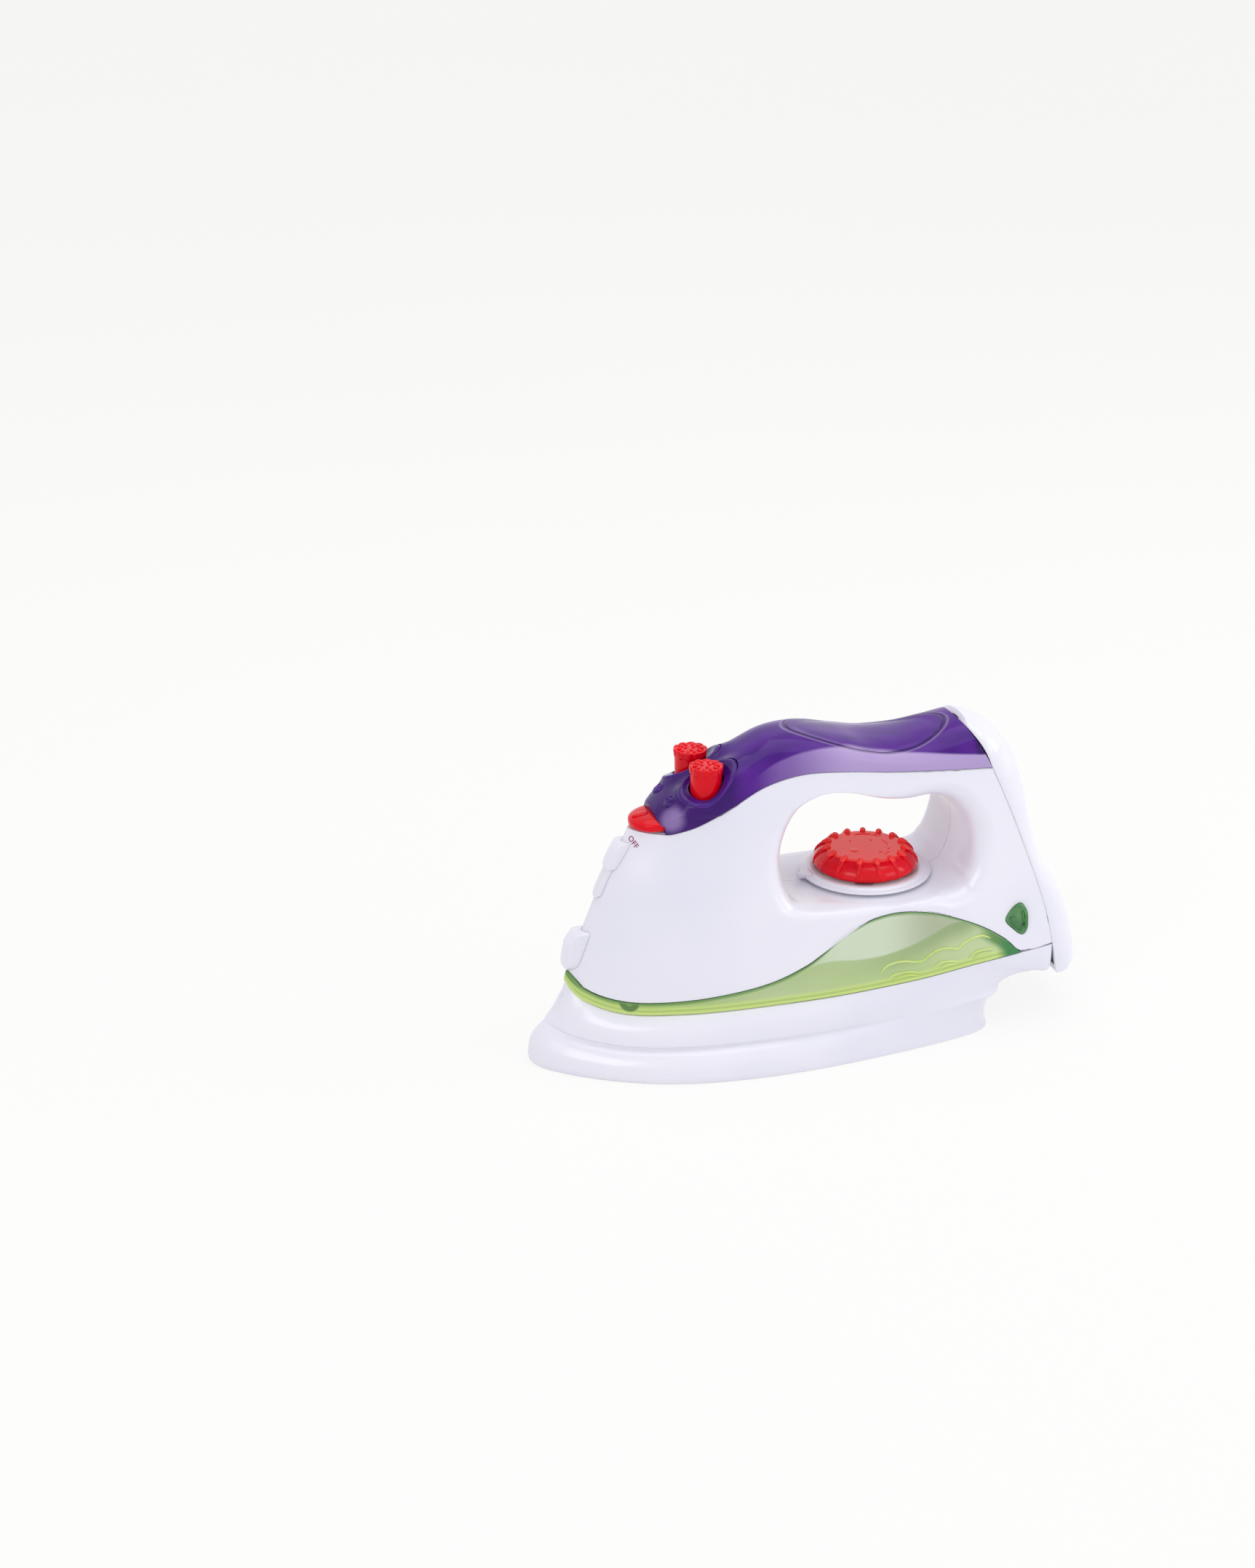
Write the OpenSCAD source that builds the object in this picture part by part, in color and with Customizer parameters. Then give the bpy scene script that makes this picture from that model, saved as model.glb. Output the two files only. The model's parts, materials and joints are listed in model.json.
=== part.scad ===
// Toy steam iron: a hollow moulded body with a turning dial, two push buttons and a power switch.
// X runs from the nose (-) to the heel (+), Y to the iron's far side, Z up from the sole.

/* [Body] */
// Length of the iron, from the nose of the sole to the back of the heel
body_l = 201.5; // [170:0.5:240]
// Height of the iron, from the sole to the top of the handle
body_h = 113; // [100:1:135]
// Width of the sole at its widest place
sole_w = 75; // [68:1:90]
// Wall thickness of the moulded shells
wall = 2; // [1.6:0.1:2.6]
// Play between shells that meet
seam_gap = 0.2; // [0.1:0.05:0.3]
// Radius of the soft edge round the finger hole
hole_round = 7; // [5:0.5:9]
// How far the tank band stands proud of the housing
band_proud = 0.3; // [0.1:0.1:0.6]

/* [Dial] */
// Diameter of the dial knob
dial_d = 36.5; // [32:0.5:40]
// Height of the dial knob
dial_h = 8; // [6:0.5:10]
// Number of grip ribs round the dial
dial_ribs = 15; // [8:1:24]
// Outer diameter of the bezel ring under the dial
bezel_d = 46; // [42:0.5:48]
// Height of the bezel ring
bezel_h = 1.9; // [1:0.1:3]
// Diameter of the dial shaft
shaft_d = 6; // [4:0.5:8]
// Running clearance between a shaft or button and its bore, on the radius
running_gap = 0.08; // [0.04:0.01:0.1]

/* [Buttons] */
// Diameter of a push button at its crown
button_d = 11.8; // [10:0.2:12.6]
// Distance between the two button axes
button_pitch = 16.8; // [15.6:0.2:18]
// Travel of a push button
button_travel = 2.5; // [1.5:0.5:3]
// How far the collars round the buttons stand proud of the handle cover
collar_proud = 1.6; // [0.8:0.1:2]

/* [Power switch] */
// Diameter of the power switch disc
switch_d = 19.2; // [17:0.2:20]
// Thickness of the power switch disc at its middle
switch_h = 4.2; // [3.6:0.2:4.8]
// Forward tilt of the power switch
switch_tilt = 4; // [0:1:8]

/* [Insides] */
// Diameter of one cell
cell_d = 14.5; // [14:0.1:14.6]
// Length of one cell
cell_l = 50.5; // [49:0.5:51]
// Thickness of the circuit boards
board_h = 1.6; // [1:0.2:2]
// Diameter of the loudspeaker
speaker_d = 27; // [20:1:29]
// Thickness of the sole plate
plate_h = 2.4; // [1.6:0.2:3]
// Diameter of the shank of a case screw
screw_d = 2.6; // [2:0.1:3]

/* [Hidden] */
$fn = 48;
EPS_CUT = 1;
full = 100;
half_l = body_l / full;
half_h = body_h / full;
half_w = sole_w / 2 / full;

// Outline shares: along X in hundredths of body_l, along Z of body_h, along Y of half the sole's width.
sole_shares = [[-50, 0], [-49.5, 10.7], [-48, 23.5], [-44.3, 42.1], [-39.5, 60.3], [-34.4, 75.2],
  [-29.8, 85.1], [-24.2, 93.1], [-17.9, 97.9], [-11.3, 100], [-4.5, 99.5], [2.5, 96.8], [9.8, 92.3],
  [17.4, 86.4], [23.5, 80], [27, 74.7], [29.6, 65.3], [31.2, 48], [31.7, 24], [31.8, 0]];
base_top_shares = [[-43.4, 0], [-43.1, 1], [-42, 1], [-39.5, 1], [-36, 1], [-32, 1],
  [-27.8, 1], [-22.5, 1], [-16.5, 1], [-10, 1], [-3, 1], [4, 1], [12, 1],
  [20.5, 1], [28.5, 1], [34.5, 1], [41.8, 1], [41.8, 0.8], [41.8, 0.4], [41.8, 0]];
front_shares = [[15, -43.9], [26.5, -43.3], [39.8, -40.7], [48.7, -38.7], [58.4, -36.5], [69, -33.2],
  [77.9, -31], [83.2, -29.3], [88.5, -25.3], [92.9, -20.8], [96.5, -16.4]];
width_shares = [[13, 93.3], [26.5, 89.3], [44.2, 78.7], [66.4, 63.5], [84.1, 51.2], [100, 44]];
cover_low_shares = [[-29, 73.4], [-27.1, 73.5], [-25, 74.5], [-21.8, 76.6], [-16.9, 81.1], [-10.6, 87],
  [-4, 89.8], [2.9, 89.6], [12.6, 87.8], [23.7, 86.2], [30.6, 85.4]];
cover_top_shares = [[-28, 79.4], [-27.6, 80], [-27, 80.9], [-23.5, 85.5], [-17.4, 90.6], [-12.2, 95.4],
  [-8.2, 98.7], [-4.2, 99.9], [0, 99.5], [5.3, 97.5], [10.1, 95.6], [16.9, 95.1], [22.3, 96.4], [26.8, 97.9]];
seam_shares = [[15.5, 43.3], [26.1, 41.9], [38.9, 40.2], [58.8, 36.4], [75.2, 33], [85.5, 30.6],
  [92, 29], [98.2, 26.8]];
rear_shares = [[15.5, 49.2], [18, 50], [27.9, 49.1], [38.5, 46.9], [47.8, 43.9], [53.5, 41.7],
  [63.3, 40], [72.6, 39.2], [79.2, 38.5], [86.3, 37.2], [93.4, 34.3], [96.9, 31.4], [98.9, 28]];
rear_seam_shares = [15.5, 18, 26.5, 36.3, 45.1, 50.4, 59.3, 67.3, 73.5, 79.6, 86.7, 92, 97];
hole_shares = [[-3.5, 49.2], [-6.7, 53.6], [-7.7, 61.9], [-6.7, 70.8], [-3.5, 79.6], [1.3, 83.2],
  [6, 82.1], [11.4, 78.6], [15.9, 77.4], [20.3, 77.5], [24.3, 74.8], [26.8, 68.1],
  [27.2, 60.5], [26, 52.6], [22.6, 48.8], [9, 48.5]];
band_low_shares = [[-43.4, 25.7], [-42.7, 23.5], [-41, 21], [-35.5, 18.8], [-26.8, 19.2], [-11.7, 20.5],
  [1.2, 21.5], [14.9, 23.4], [25.3, 25.3], [35.2, 26.1], [42, 26.2]];
band_top_shares = [[-43.4, 29.2], [-40.8, 25.2], [-35.9, 23.2], [-29.5, 23.4], [-20.7, 25], [-11.4, 28.1],
  [-5.1, 32.3], [-2, 35.6], [1.2, 39.8], [4.6, 42.8], [7.9, 44.7], [12.1, 45.5], [17.1, 44.4],
  [21.9, 41.8], [27.8, 37], [32.2, 31.7], [35.2, 26.8], [42, 26.8]];

// Profile shares of the base from the sole's edge to the body: height share, then reach share.
nose_profile_shares = [[0, 0.05], [0.04, 0.01], [0.12, 0], [0.28, 0.05], [0.4, 0.2], [0.46, 0.3],
  [0.5, 0.38], [0.56, 0.52], [0.66, 0.76], [0.82, 1], [0.94, 1.03], [1, 1]];
side_profile_shares = [[0, 0.05], [0.04, 0.01], [0.12, 0], [0.28, 0.1], [0.4, 0.3], [0.46, 0.5],
  [0.5, 0.6], [0.56, 0.5], [0.66, 0.5], [0.82, 0.6], [0.94, 0.82], [1, 1]];
rear_profile_shares = [[0, 0.03], [0.04, 0.01], [0.12, 0], [0.28, 0], [0.4, -0.03], [0.46, -0.02],
  [0.52, 0.04], [0.6, 0.14], [0.65, 0.4], [0.63, 0.75], [0.6, 1], [1, 1]];

// Smooth curve through a table of [place, value] shares.
function span(t, x, i = 0) = (i >= len(t) - 2 || x < t[i + 1][0]) ? i : span(t, x, i + 1);
function rise(t, i) = let (a = max(i - 1, 0), b = min(i + 1, len(t) - 1))
  (t[b][1] - t[a][1]) / (t[b][0] - t[a][0]);
function hermite(a, b, ma, mb, u) = (2 * u ^ 3 - 3 * u ^ 2 + 1) * a + (u ^ 3 - 2 * u ^ 2 + u) * ma
  + (3 * u ^ 2 - 2 * u ^ 3) * b + (u ^ 3 - u ^ 2) * mb;
function curve(t, x) = let (i = span(t, x), h = t[i + 1][0] - t[i][0], u = min(1, max(0, (x - t[i][0]) / h)))
  hermite(t[i][1], t[i + 1][1], rise(t, i) * h, rise(t, i + 1) * h, u);

// Smooth open or closed path through a list of points, at a place counted in points.
function knot(list, i, closed) = closed ? list[(i + 2 * len(list)) % len(list)]
  : list[min(max(i, 0), len(list) - 1)];
function along(list, s, closed = false) = let (n = len(list),
  i = closed ? floor(s) : min(floor(s), n - 2), u = s - i,
  a = knot(list, i, closed), b = knot(list, i + 1, closed),
  ma = (b - knot(list, i - 1, closed)) / 2, mb = (knot(list, i + 2, closed) - a) / 2)
  hermite(a, b, ma, mb, u);

function mix(a, b, u) = a + (b - a) * u;
function spread(a, b, n) = [for (i = [0:n - 1]) mix(a, b, i / (n - 1))];
function flat(lists) = [for (l = lists) for (e = l) e];

// Half width of the moulded body at a place x and a height z.
nose_power = 0.85;
rear_taper = 0.3;
nose_reach_shares = [7, 13.9, 17.7, 0.105];
rear_start_shares = [15, 28];
function nose_reach(zs) = let (n = nose_reach_shares) max(n[0], n[1] - (zs - n[2]) * n[3]);
function half_width(x, z) = let (zs = z / half_h, xs = x / half_l, d = max(0, xs - curve(front_shares, zs)),
  back = max(0, (xs - rear_start_shares[0]) / rear_start_shares[1]),
  slim = 1 - rear_taper * (1 - zs / full) * back ^ 2)
  curve(width_shares, zs) * half_w * slim * (1 - exp(-pow(d / nose_reach(zs), nose_power)));

function at(p) = [p[0] * half_l, p[1] * half_h];
function by_height(t, zs) = [curve(t, zs) * half_l, zs * half_h];
function by_length(t, xs) = [xs * half_l, curve(t, xs) * half_h];

// Closed skin from rings of points: outer rings first, then inner rings back to the start.
module skin(rings, loop) {
  rows = len(rings);
  n = len(rings[0]);
  steps = loop ? n : n - 1;
  faces = [for (r = [0:rows - 1]) for (i = [0:steps - 1])
    let (up = ((r + 1) % rows) * n, a = r * n + i, b = r * n + (i + 1) % n, c = up + (i + 1) % n, d = up + i)
    for (f = [[a, b, c], [a, c, d]]) f];
  function cap(i, r) = let (a = r * n + i, b = a + n, c = (rows - 2 - r) * n + i, d = c + n)
    b == c ? [[a, b, d]] : [[a, b, c], [a, c, d]];
  ends = loop ? [] : [for (r = [0:floor(rows / 2) - 1]) if (r + 1 <= rows - 2 - r)
    each concat(cap(0, r), [for (f = cap(n - 1, r)) [f[2], f[1], f[0]]])];
  polyhedron(points = flat(rings), faces = concat(faces, ends), convexity = 10);
}

// Left half of the housing, from the finger hole out to the edges where its neighbours meet it.
round_steps = 4;
side_steps = 5;
rim_front_shares = [29.2, 73.5];
rim_top_shares = [-27, 30.6];
rim_seam_shares = [78, 27];
rim_heel_shares = [41.9, 38.4];
rim_band_shares = [35.2, -43.4];
rim_end_share = 0.97;
rim_counts = [10, 17, 8, 19];
housing_rim = concat(
  [for (zs = spread(rim_front_shares[0], rim_front_shares[1], rim_counts[0]))
    [by_height(front_shares, zs), 1]],
  [for (u = [1 / 3, 2 / 3]) [mix(by_height(front_shares, rim_front_shares[1]),
    by_length(cover_low_shares, rim_top_shares[0]), u), 0]],
  [for (xs = spread(rim_top_shares[0], rim_top_shares[1], rim_counts[1]))
    [by_length(cover_low_shares, xs), 0]],
  [for (zs = spread(rim_seam_shares[0], rim_seam_shares[1], rim_counts[2])) [by_height(seam_shares, zs), 0]],
  [for (xs = rim_heel_shares) [by_length(band_top_shares, xs), 0]],
  [for (u = spread(0, rim_end_share, rim_counts[3]))
    [by_length(band_top_shares, mix(rim_band_shares[0], rim_band_shares[1], u)), 0]]);
hole_stations = concat(spread(0.1, 3.3, rim_counts[0]), [3.4, 3.5], spread(3.7, 10.5, rim_counts[1]),
  spread(10.9, 13.2, rim_counts[2]), [13.4, 13.6], spread(13.8, len(hole_shares), rim_counts[3]));
function housing_point(k, v, t) = let (s = housing_rim[k][0],
  h = at(along(hole_shares, hole_stations[k], true)),
  front = housing_rim[k][1], reach = norm(s - h), e = (s - h) / reach, r = min(hole_round, 0.75 * reach),
  c = h + e * r, top = half_width(c[0], c[1]), a = 90 * (v - 1) / round_steps, ri = max(r - t, r / 4),
  f = sin(90 * (v - 1 - round_steps) / side_steps), d = mix(r, reach - t * front, f), p = h + e * d,
  wide = half_width(p[0], p[1]))
  v == 0 ? [for (q = [h + e * (r - ri)]) each [q[0], 0, q[1]]]
  : v <= round_steps + 1 ? let (q = h + e * (r - ri * cos(a))) [q[0], top - r + ri * sin(a), q[1]]
  : (front == 1 && v == round_steps + side_steps + 1) ? [p[0], 0, p[1]]
  : [p[0], max(wide - t, wide / 3), p[1]];
module housing_half() {
  last = round_steps + side_steps + 1;
  ring = function(v, t) [for (k = [0:len(housing_rim) - 1])
    let (p = housing_point(k, v, t)) [p[0], p[1] + seam_gap / 2, p[2]]];
  skin(concat([for (v = [0:last]) ring(v, 0)], [for (v = [last:-1:0]) ring(v, wall)]), true);
}

// Cover on top of the handle, an arch from the low edge on one side over to the other.
arch_power = 0.8;
arch_steps = 14;
cover_stations = concat([0, 0.3, 0.6, 1, 1.4], spread(1.8, 13, 24));
function arch(a) = let (c = cos(a)) [(c < 0 ? -1 : 1) * pow(abs(c), arch_power), pow(sin(a), arch_power)];
cover_ends = [-27.9, 30.6];
cover_last = 13;
function cover_low(s) = by_length(cover_low_shares, mix(cover_ends[0], cover_ends[1], s / cover_last));
function cover_crown(s) = at(along(cover_top_shares, s));
cover_nose_share = 0.9;
cover_fill_share = 0.3;
function cover_ring_points(t) = [for (k = cover_stations)
  let (lo = cover_low(k), hi = cover_crown(k), up = hi - lo,
  w = half_width(lo[0], lo[1]) * min(1, cover_nose_share + cover_fill_share * k),
  g = up * (norm(up) - t) / norm(up))
  [for (j = [0:arch_steps]) let (q = arch(180 * j / arch_steps), m = lo + g * q[1])
    [m[0], -(w - t) * q[0], m[1] + seam_gap]]];
function cover_rows(t) = let (points = cover_ring_points(t))
  [for (j = [arch_steps:-1:0]) [for (k = [0:len(cover_stations) - 1]) points[k][j]]];
module cover_solid(proud) {
  skin(cover_rows(-proud), false);
}
module handle_cover() {
  outer = cover_rows(0);
  inner = cover_rows(wall);
  color("indigo") difference() {
    skin(concat(outer, [for (j = [arch_steps:-1:0]) inner[j]]), false);
    collar_outlines(fit_gap / 2);
    button_wells();
    switch_pocket();
    at_switch() slab(-switch_d, 0, -switch_d, switch_d, -switch_d, 0);
  }
}

// Rear cover, a stack of rounded ends from the heel up to the top of the handle.
end_power = 2.1;
end_steps = 9;
end_last = 12;
end_stations = concat([-1], spread(0, end_last, 22), [end_last + 1]);
function seam_wide(p) = let (low = cover_low(cover_last)[1], top = cover_crown(cover_last)[1],
  u = min(1, max(0, (p[1] - low) / (top - low))))
  half_width(p[0], min(p[1], low)) * pow(1 - pow(u, 2 / arch_power), arch_power / 2);
floor_share = 0.04;
lip_share = 0.3;
end_edge = 0.4;
inner_start = 0.9;
inner_end = 11.6;
function end_point(k, u, t) = let (up = min(end_last, max(0, k)) / end_last,
  q = t > 0 ? mix(inner_start, inner_end, up) : mix(0, end_last, up), lip = k > end_last,
  shrink = k < 0 ? floor_share : lip ? lip_share : 1, s = by_height(seam_shares, along(rear_seam_shares, q)),
  r = at([along(rear_shares, q)[1], along(rear_shares, q)[0]]), e = (r - s) / norm(r - s),
  deep = max(norm(r - s) * shrink - seam_gap - (k < 0 ? 0 : t), end_edge / 2),
  wide = max(seam_wide(s) * (lip ? lip_share : 1), end_edge),
  d = deep * pow(max(0, 1 - pow(abs(u), end_power)), 1 / end_power))
  [s[0] + e[0] * d + seam_gap + (lip ? end_edge / 2 : 0),
  wide * wide / (wide + t) * u * (k < 0 ? 1 - floor_share : 1), s[1] + e[1] * d];
module rear_cover() {
  us = [for (i = [-end_steps:end_steps]) sin(90 * i / end_steps)];
  ring = function(u, t) [for (k = end_stations) end_point(k, u, t)];
  color("white") skin(concat([for (u = us) ring(u, 0)], [for (u = us) ring(-u, wall)]), false);
}

// Tank band wrapped round the nose, from one rear tip to the other.
band_wall = 1.6;
band_rows = 5;
band_half = 26;
band_tip_share = 35;
band_nose_share = -43.4;
band_gap_share = 0.25;
band_tip_h_share = 0.3;
band_turn_share = 4;
band_power = 1.8;
function band_point(q, v, t) = let (back = abs(q) ^ band_power,
  xs = mix(band_nose_share, band_tip_share, back),
  lo = curve(band_low_shares, xs) + band_gap_share,
  hi = max(curve(band_top_shares, xs) - band_gap_share, lo + band_tip_h_share), zs = mix(lo, hi, v),
  fx = curve(front_shares, zs) - band_nose_share, x = (xs + fx * (1 - back) ^ 2) * half_l,
  near = 1 - min(1, (xs - band_nose_share) / band_turn_share), w = half_width(x, zs * half_h) + band_proud)
  [x + (t - band_proud) * near, q == 0 ? 0 : sign(q) * w * w / (w + t), zs * half_h];
module tank_band() {
  qs = [for (i = [-band_half:band_half]) i / band_half];
  ring = function(v, t) [for (q = qs) band_point(q, v, t)];
  color("yellowgreen", 0.8) skin(concat([for (v = [0:band_rows]) ring(v / band_rows, 0)],
    [for (v = [band_rows:-1:0]) ring(v / band_rows, band_wall)]), false);
}

// Base shell between the sole and the body, with the step up to the heel.
base_stations = concat(spread(0, 3, 8), spread(3.6, 14, 14), spread(14.6, 17.4, 7), [18, 18.5, 19]);
rear_start = 14.5;
side_start = 4;
heel_start = 16;
heel_last = 19;
inner_levels = [8, 6, 3, 0];
function sole_point(s) = let (p = along(sole_shares, s)) [p[0] * half_l, p[1] * half_w];
function base_top(s) = let (p = along(base_top_shares, s), x = p[0] * half_l,
  z = curve(band_low_shares, p[0]) * half_h, end = (s - heel_start) / (heel_last - heel_start))
  [x, (s == 0 ? 0 : half_width(x, z)) * (1 - max(0, end)), z];
function base_point(s, lv, t) = let (b = sole_point(s), top = base_top(s),
  back = min(1, max(0, (s - rear_start) / 2)), fore = max(0, 1 - s / side_start) ^ 1.5,
  pv = fore > 0 ? mix(side_profile_shares[lv], nose_profile_shares[lv], fore)
  : mix(side_profile_shares[lv], rear_profile_shares[lv], back),
  p = mix(b, [top[0], top[1]], pv[1]), w = p[1])
  [p[0] + (s < 2 ? t * (1 - s / 2) : s > heel_start ? -t : 0), w <= 0 ? 0 : w * w / (w + t), top[2] * pv[0]];
module base_shell() {
  n = len(base_stations);
  ring = function(lv, t) concat([for (i = [0:n - 1]) base_point(base_stations[i], lv, t)],
    [for (i = [n - 2:-1:1]) let (p = base_point(base_stations[i], lv, t)) [p[0], -p[1], p[2]]]);
  levels = len(side_profile_shares) - 1;
  color("white") skin(concat([for (lv = [0:levels]) ring(lv, 0)],
    [for (lv = concat([levels], inner_levels)) ring(lv, wall)]), true);
}

// Places of the pieces, as shares of the body like the outlines.
dial_share = 11.4;
floor_top_share = 49.2;
button_share = -19.5;
button_top_share = 94.2;
collar_low_share = 82.4;
switch_shares = [-27, 76.3];
window_place_shares = [34.2, 37];
post_shares = [[-29, 56], [-13, 42], [33, 44], [30, 78]];
base_screw_shares = [[-30, 37], [25.5, 56]];
heel_inner_share = 31;
speaker_share = -17;
sensor_share = -41;
board_share = -12;
boss_shares = [-34, 21, 23];
dial_x = dial_share * half_l;
floor_z = floor_top_share * half_h;
button_x = button_share * half_l;
button_y = button_pitch / 2;
button_top = button_top_share * half_h;
switch_at = [switch_shares[0] * half_l, 0, switch_shares[1] * half_h];
window_at = at(window_place_shares);
speaker_x = speaker_share * half_l;
sensor_x = sensor_share * half_l;
board_x = board_share * half_l;

// Gaps between fixed pieces, round moving ones, and round the thread of a screw.
fit_gap = 0.2;
free_gap = 0.3;
thread_gap = 0.05;

// Simple building blocks.
module slab(x0, x1, y0, y1, z0, z1) {
  translate([x0, y0, z0]) cube([x1 - x0, y1 - y0, z1 - z0]);
}
module rod(x, y, z0, z1, r) {
  translate([x, y, z0]) cylinder(h = z1 - z0, r = r);
}
module drill(h, r) {
  translate([0, 0, -EPS_CUT]) cylinder(h = h + 2 * EPS_CUT, r = r);
}
module tube_along(path, r, sides) {
  n = len(path);
  function way(i) = let (g = path[min(n - 1, i + 1)] - path[max(0, i - 1)]) g / norm(g);
  function ring(i) = let (g = way(i), up = abs(g[2]) > 0.9 ? [1, 0, 0] : [0, 0, 1],
    a = cross(g, up) / norm(cross(g, up)), b = cross(a, g))
    [for (j = [0:sides - 1]) path[i] + r * (cos(360 * j / sides) * a + sin(360 * j / sides) * b)];
  walls = [for (i = [0:n - 2]) for (j = [0:sides - 1])
    let (a = i * sides + j, b = i * sides + (j + 1) % sides)
    for (f = [[a, b, b + sides], [a, b + sides, a + sides]]) f];
  polyhedron(points = flat([for (i = [0:n - 1]) ring(i)]), faces = concat(walls,
    [[for (j = [sides - 1:-1:0]) j]], [[for (j = [0:sides - 1]) (n - 1) * sides + j]]), convexity = 6);
}
function coil(x, y, z0, z1, r, turns, steps) = [for (i = [0:turns * steps])
  let (u = i / (turns * steps)) [x + r * cos(360 * turns * u), y + r * sin(360 * turns * u), mix(z0, z1, u)]];

// Flat plan of the sole, drawn in from the edge by a margin.
plan_steps = 26;
function plan(margin, last) = let (side = [for (s = spread(0.2, last, plan_steps)) let (p = sole_point(s),
  a = sole_point(max(0, s - 0.1)), b = sole_point(s + 0.1), g = (b - a) / norm(b - a))
  [p[0] + g[1] * margin, p[1] - g[0] * margin]], keep = [for (p = side) if (p[1] > 0) p])
  concat(keep, [for (i = [len(keep) - 1:-1:0]) [keep[i][0], -keep[i][1]]]);

// Flat plate across the inside of the body between two places, short of its walls by a gap.
across_steps = 9;
module across(x0, x1, z0, h, gap) {
  side = [for (x = spread(x0, x1, across_steps)) [x, half_width(x, z0 + h) - wall - gap]];
  translate([0, 0, z0]) linear_extrude(h)
    polygon(concat(side, [for (i = [across_steps - 1:-1:0]) [side[i][0], -side[i][1]]]));
}

// Sizes of the battery tray, built up round two cells lying side by side.
tray_wall = 1.2;
block_l = 3 * screw_d;
contact_room = 3;
tray_z = plate_h + fit_gap;
tray_h = cell_d + 2 * fit_gap + tray_wall;
tray_l = block_l + cell_l + 2 * contact_room + tray_wall;
tray_w = 2 * cell_d + 3 * fit_gap + 2 * tray_wall;
door_room = 4.5;
door_x = heel_inner_share * half_l - door_room - tray_l / 2;
door_l = tray_l + 2 * fit_gap;
door_w = tray_w + 2 * fit_gap;
door_screw_x = door_x - tray_l / 2 + block_l / 2;
cell_x = door_x + (block_l - tray_wall) / 2;
cell_y = (cell_d + fit_gap) / 2;
cell_z = tray_z + fit_gap + cell_d / 2;

// Sole plate with the battery hatch, the sensor hole, the loudspeaker grille and the screw holes.
sole_margin = wall + 4 * fit_gap;
sole_last = 18.6;
sensor_r = 4;
grille_r = 1.2;
grille_holes = 6;
head_r = screw_d;
shank_r = screw_d / 2;
module at_screws() {
  for (p = base_screw_shares) for (side = [-1, 1])
    translate([p[0] * half_l, side * p[1] * half_w, 0]) children();
}
module screw_seat() {
  drill(plate_h, shank_r + fit_gap);
  translate([0, 0, -EPS_CUT]) cylinder(h = EPS_CUT + plate_h / 2, r = head_r + fit_gap);
}
module screw(reach) {
  translate([0, 0, fit_gap]) cylinder(h = plate_h / 2 - 2 * fit_gap, r = head_r);
  translate([0, 0, fit_gap]) cylinder(h = plate_h - fit_gap + reach, r = shank_r);
}
module sole_plate() {
  color("dimgray") difference() {
    linear_extrude(plate_h) polygon(plan(sole_margin, sole_last));
    slab(door_x - door_l / 2 - fit_gap, door_x + door_l / 2 + fit_gap,
      -door_w / 2 - fit_gap, door_w / 2 + fit_gap, -EPS_CUT, plate_h + EPS_CUT);
    translate([sensor_x, 0, 0]) drill(plate_h, sensor_r + fit_gap);
    translate([speaker_x, 0, 0]) drill(plate_h, grille_r);
    for (i = [1:grille_holes]) translate([speaker_x, 0, 0]) rotate(360 * i / grille_holes)
      translate([4 * grille_r, 0, 0]) drill(plate_h, grille_r);
    at_screws() screw_seat();
  }
}
grip_count = 4;
module battery_door() {
  color("gray") difference() {
    slab(door_x - door_l / 2, door_x + door_l / 2, -door_w / 2, door_w / 2, 0, plate_h);
    translate([door_screw_x, 0, 0]) screw_seat();
    for (i = [1:grip_count]) translate([door_x + door_l / 2 - (2 * i + 1) * wall, -door_w / 4, -EPS_CUT])
      cube([wall, door_w / 2, EPS_CUT + plate_h / 4]);
  }
}
module door_screw() {
  color("silver") translate([door_screw_x, 0, 0]) screw(3 * screw_d);
}
module base_screws() {
  color("silver") at_screws() screw(4 * screw_d);
}

// Chassis plate over the battery tray, on four hollow bosses.
deck_shares = [-38, 27.4];
deck_z = tray_z + tray_h + fit_gap / 2;
deck_h = 1.8;
deck_gap = 2.4;
boss_r = shank_r + 1.6;
board_l = 52;
board_w = 26;
standoff_h = 2.4;
standoff_r = 2.2;
module chassis_plate() {
  color("gainsboro") difference() {
    union() {
      across(deck_shares[0] * half_l, deck_shares[1] * half_l, deck_z, deck_h, deck_gap);
      at_screws() rod(0, 0, plate_h + fit_gap / 2, deck_z + deck_h, boss_r);
      for (i = [-1, 1]) for (j = [-1, 1])
        rod(board_x + i * (board_l / 2 - standoff_r), j * (board_w / 2 - standoff_r),
          deck_z, deck_z + deck_h + standoff_h, standoff_r);
    }
    at_screws() rod(0, 0, 0, deck_z, shank_r + thread_gap);
    translate([speaker_x, 0, deck_z]) drill(deck_h, speaker_d / 4);
    translate([door_x, 0, deck_z]) drill(deck_h, boss_r);
  }
}

// Battery tray with its two cells, springs and plates.
module battery_tray() {
  x0 = door_x - tray_l / 2;
  x1 = door_x + tray_l / 2;
  color("whitesmoke") difference() {
    slab(x0, x1, -tray_w / 2, tray_w / 2, tray_z, tray_z + tray_h);
    slab(x0 + block_l, x1 - tray_wall, tray_wall - tray_w / 2, tray_w / 2 - tray_wall,
      tray_z - EPS_CUT, tray_z + tray_h - tray_wall);
    rod(door_screw_x, 0, tray_z - EPS_CUT, tray_z + 4 * screw_d, shank_r + thread_gap);
  }
}
nub_r = 2.7;
nub_h = 1.2;
module cell(side) {
  translate([cell_x, side * cell_y, cell_z]) rotate([0, -side * 90, 0]) {
    translate([0, 0, -cell_l / 2]) cylinder(h = cell_l - nub_h, d = cell_d);
    translate([0, 0, cell_l / 2 - nub_h]) cylinder(h = nub_h, r = nub_r);
  }
}
module left_cell() {
  color("goldenrod") cell(-1);
}
module right_cell() {
  color("goldenrod") cell(1);
}
contact_wire = 0.4;
contact_turns = 3;
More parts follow.
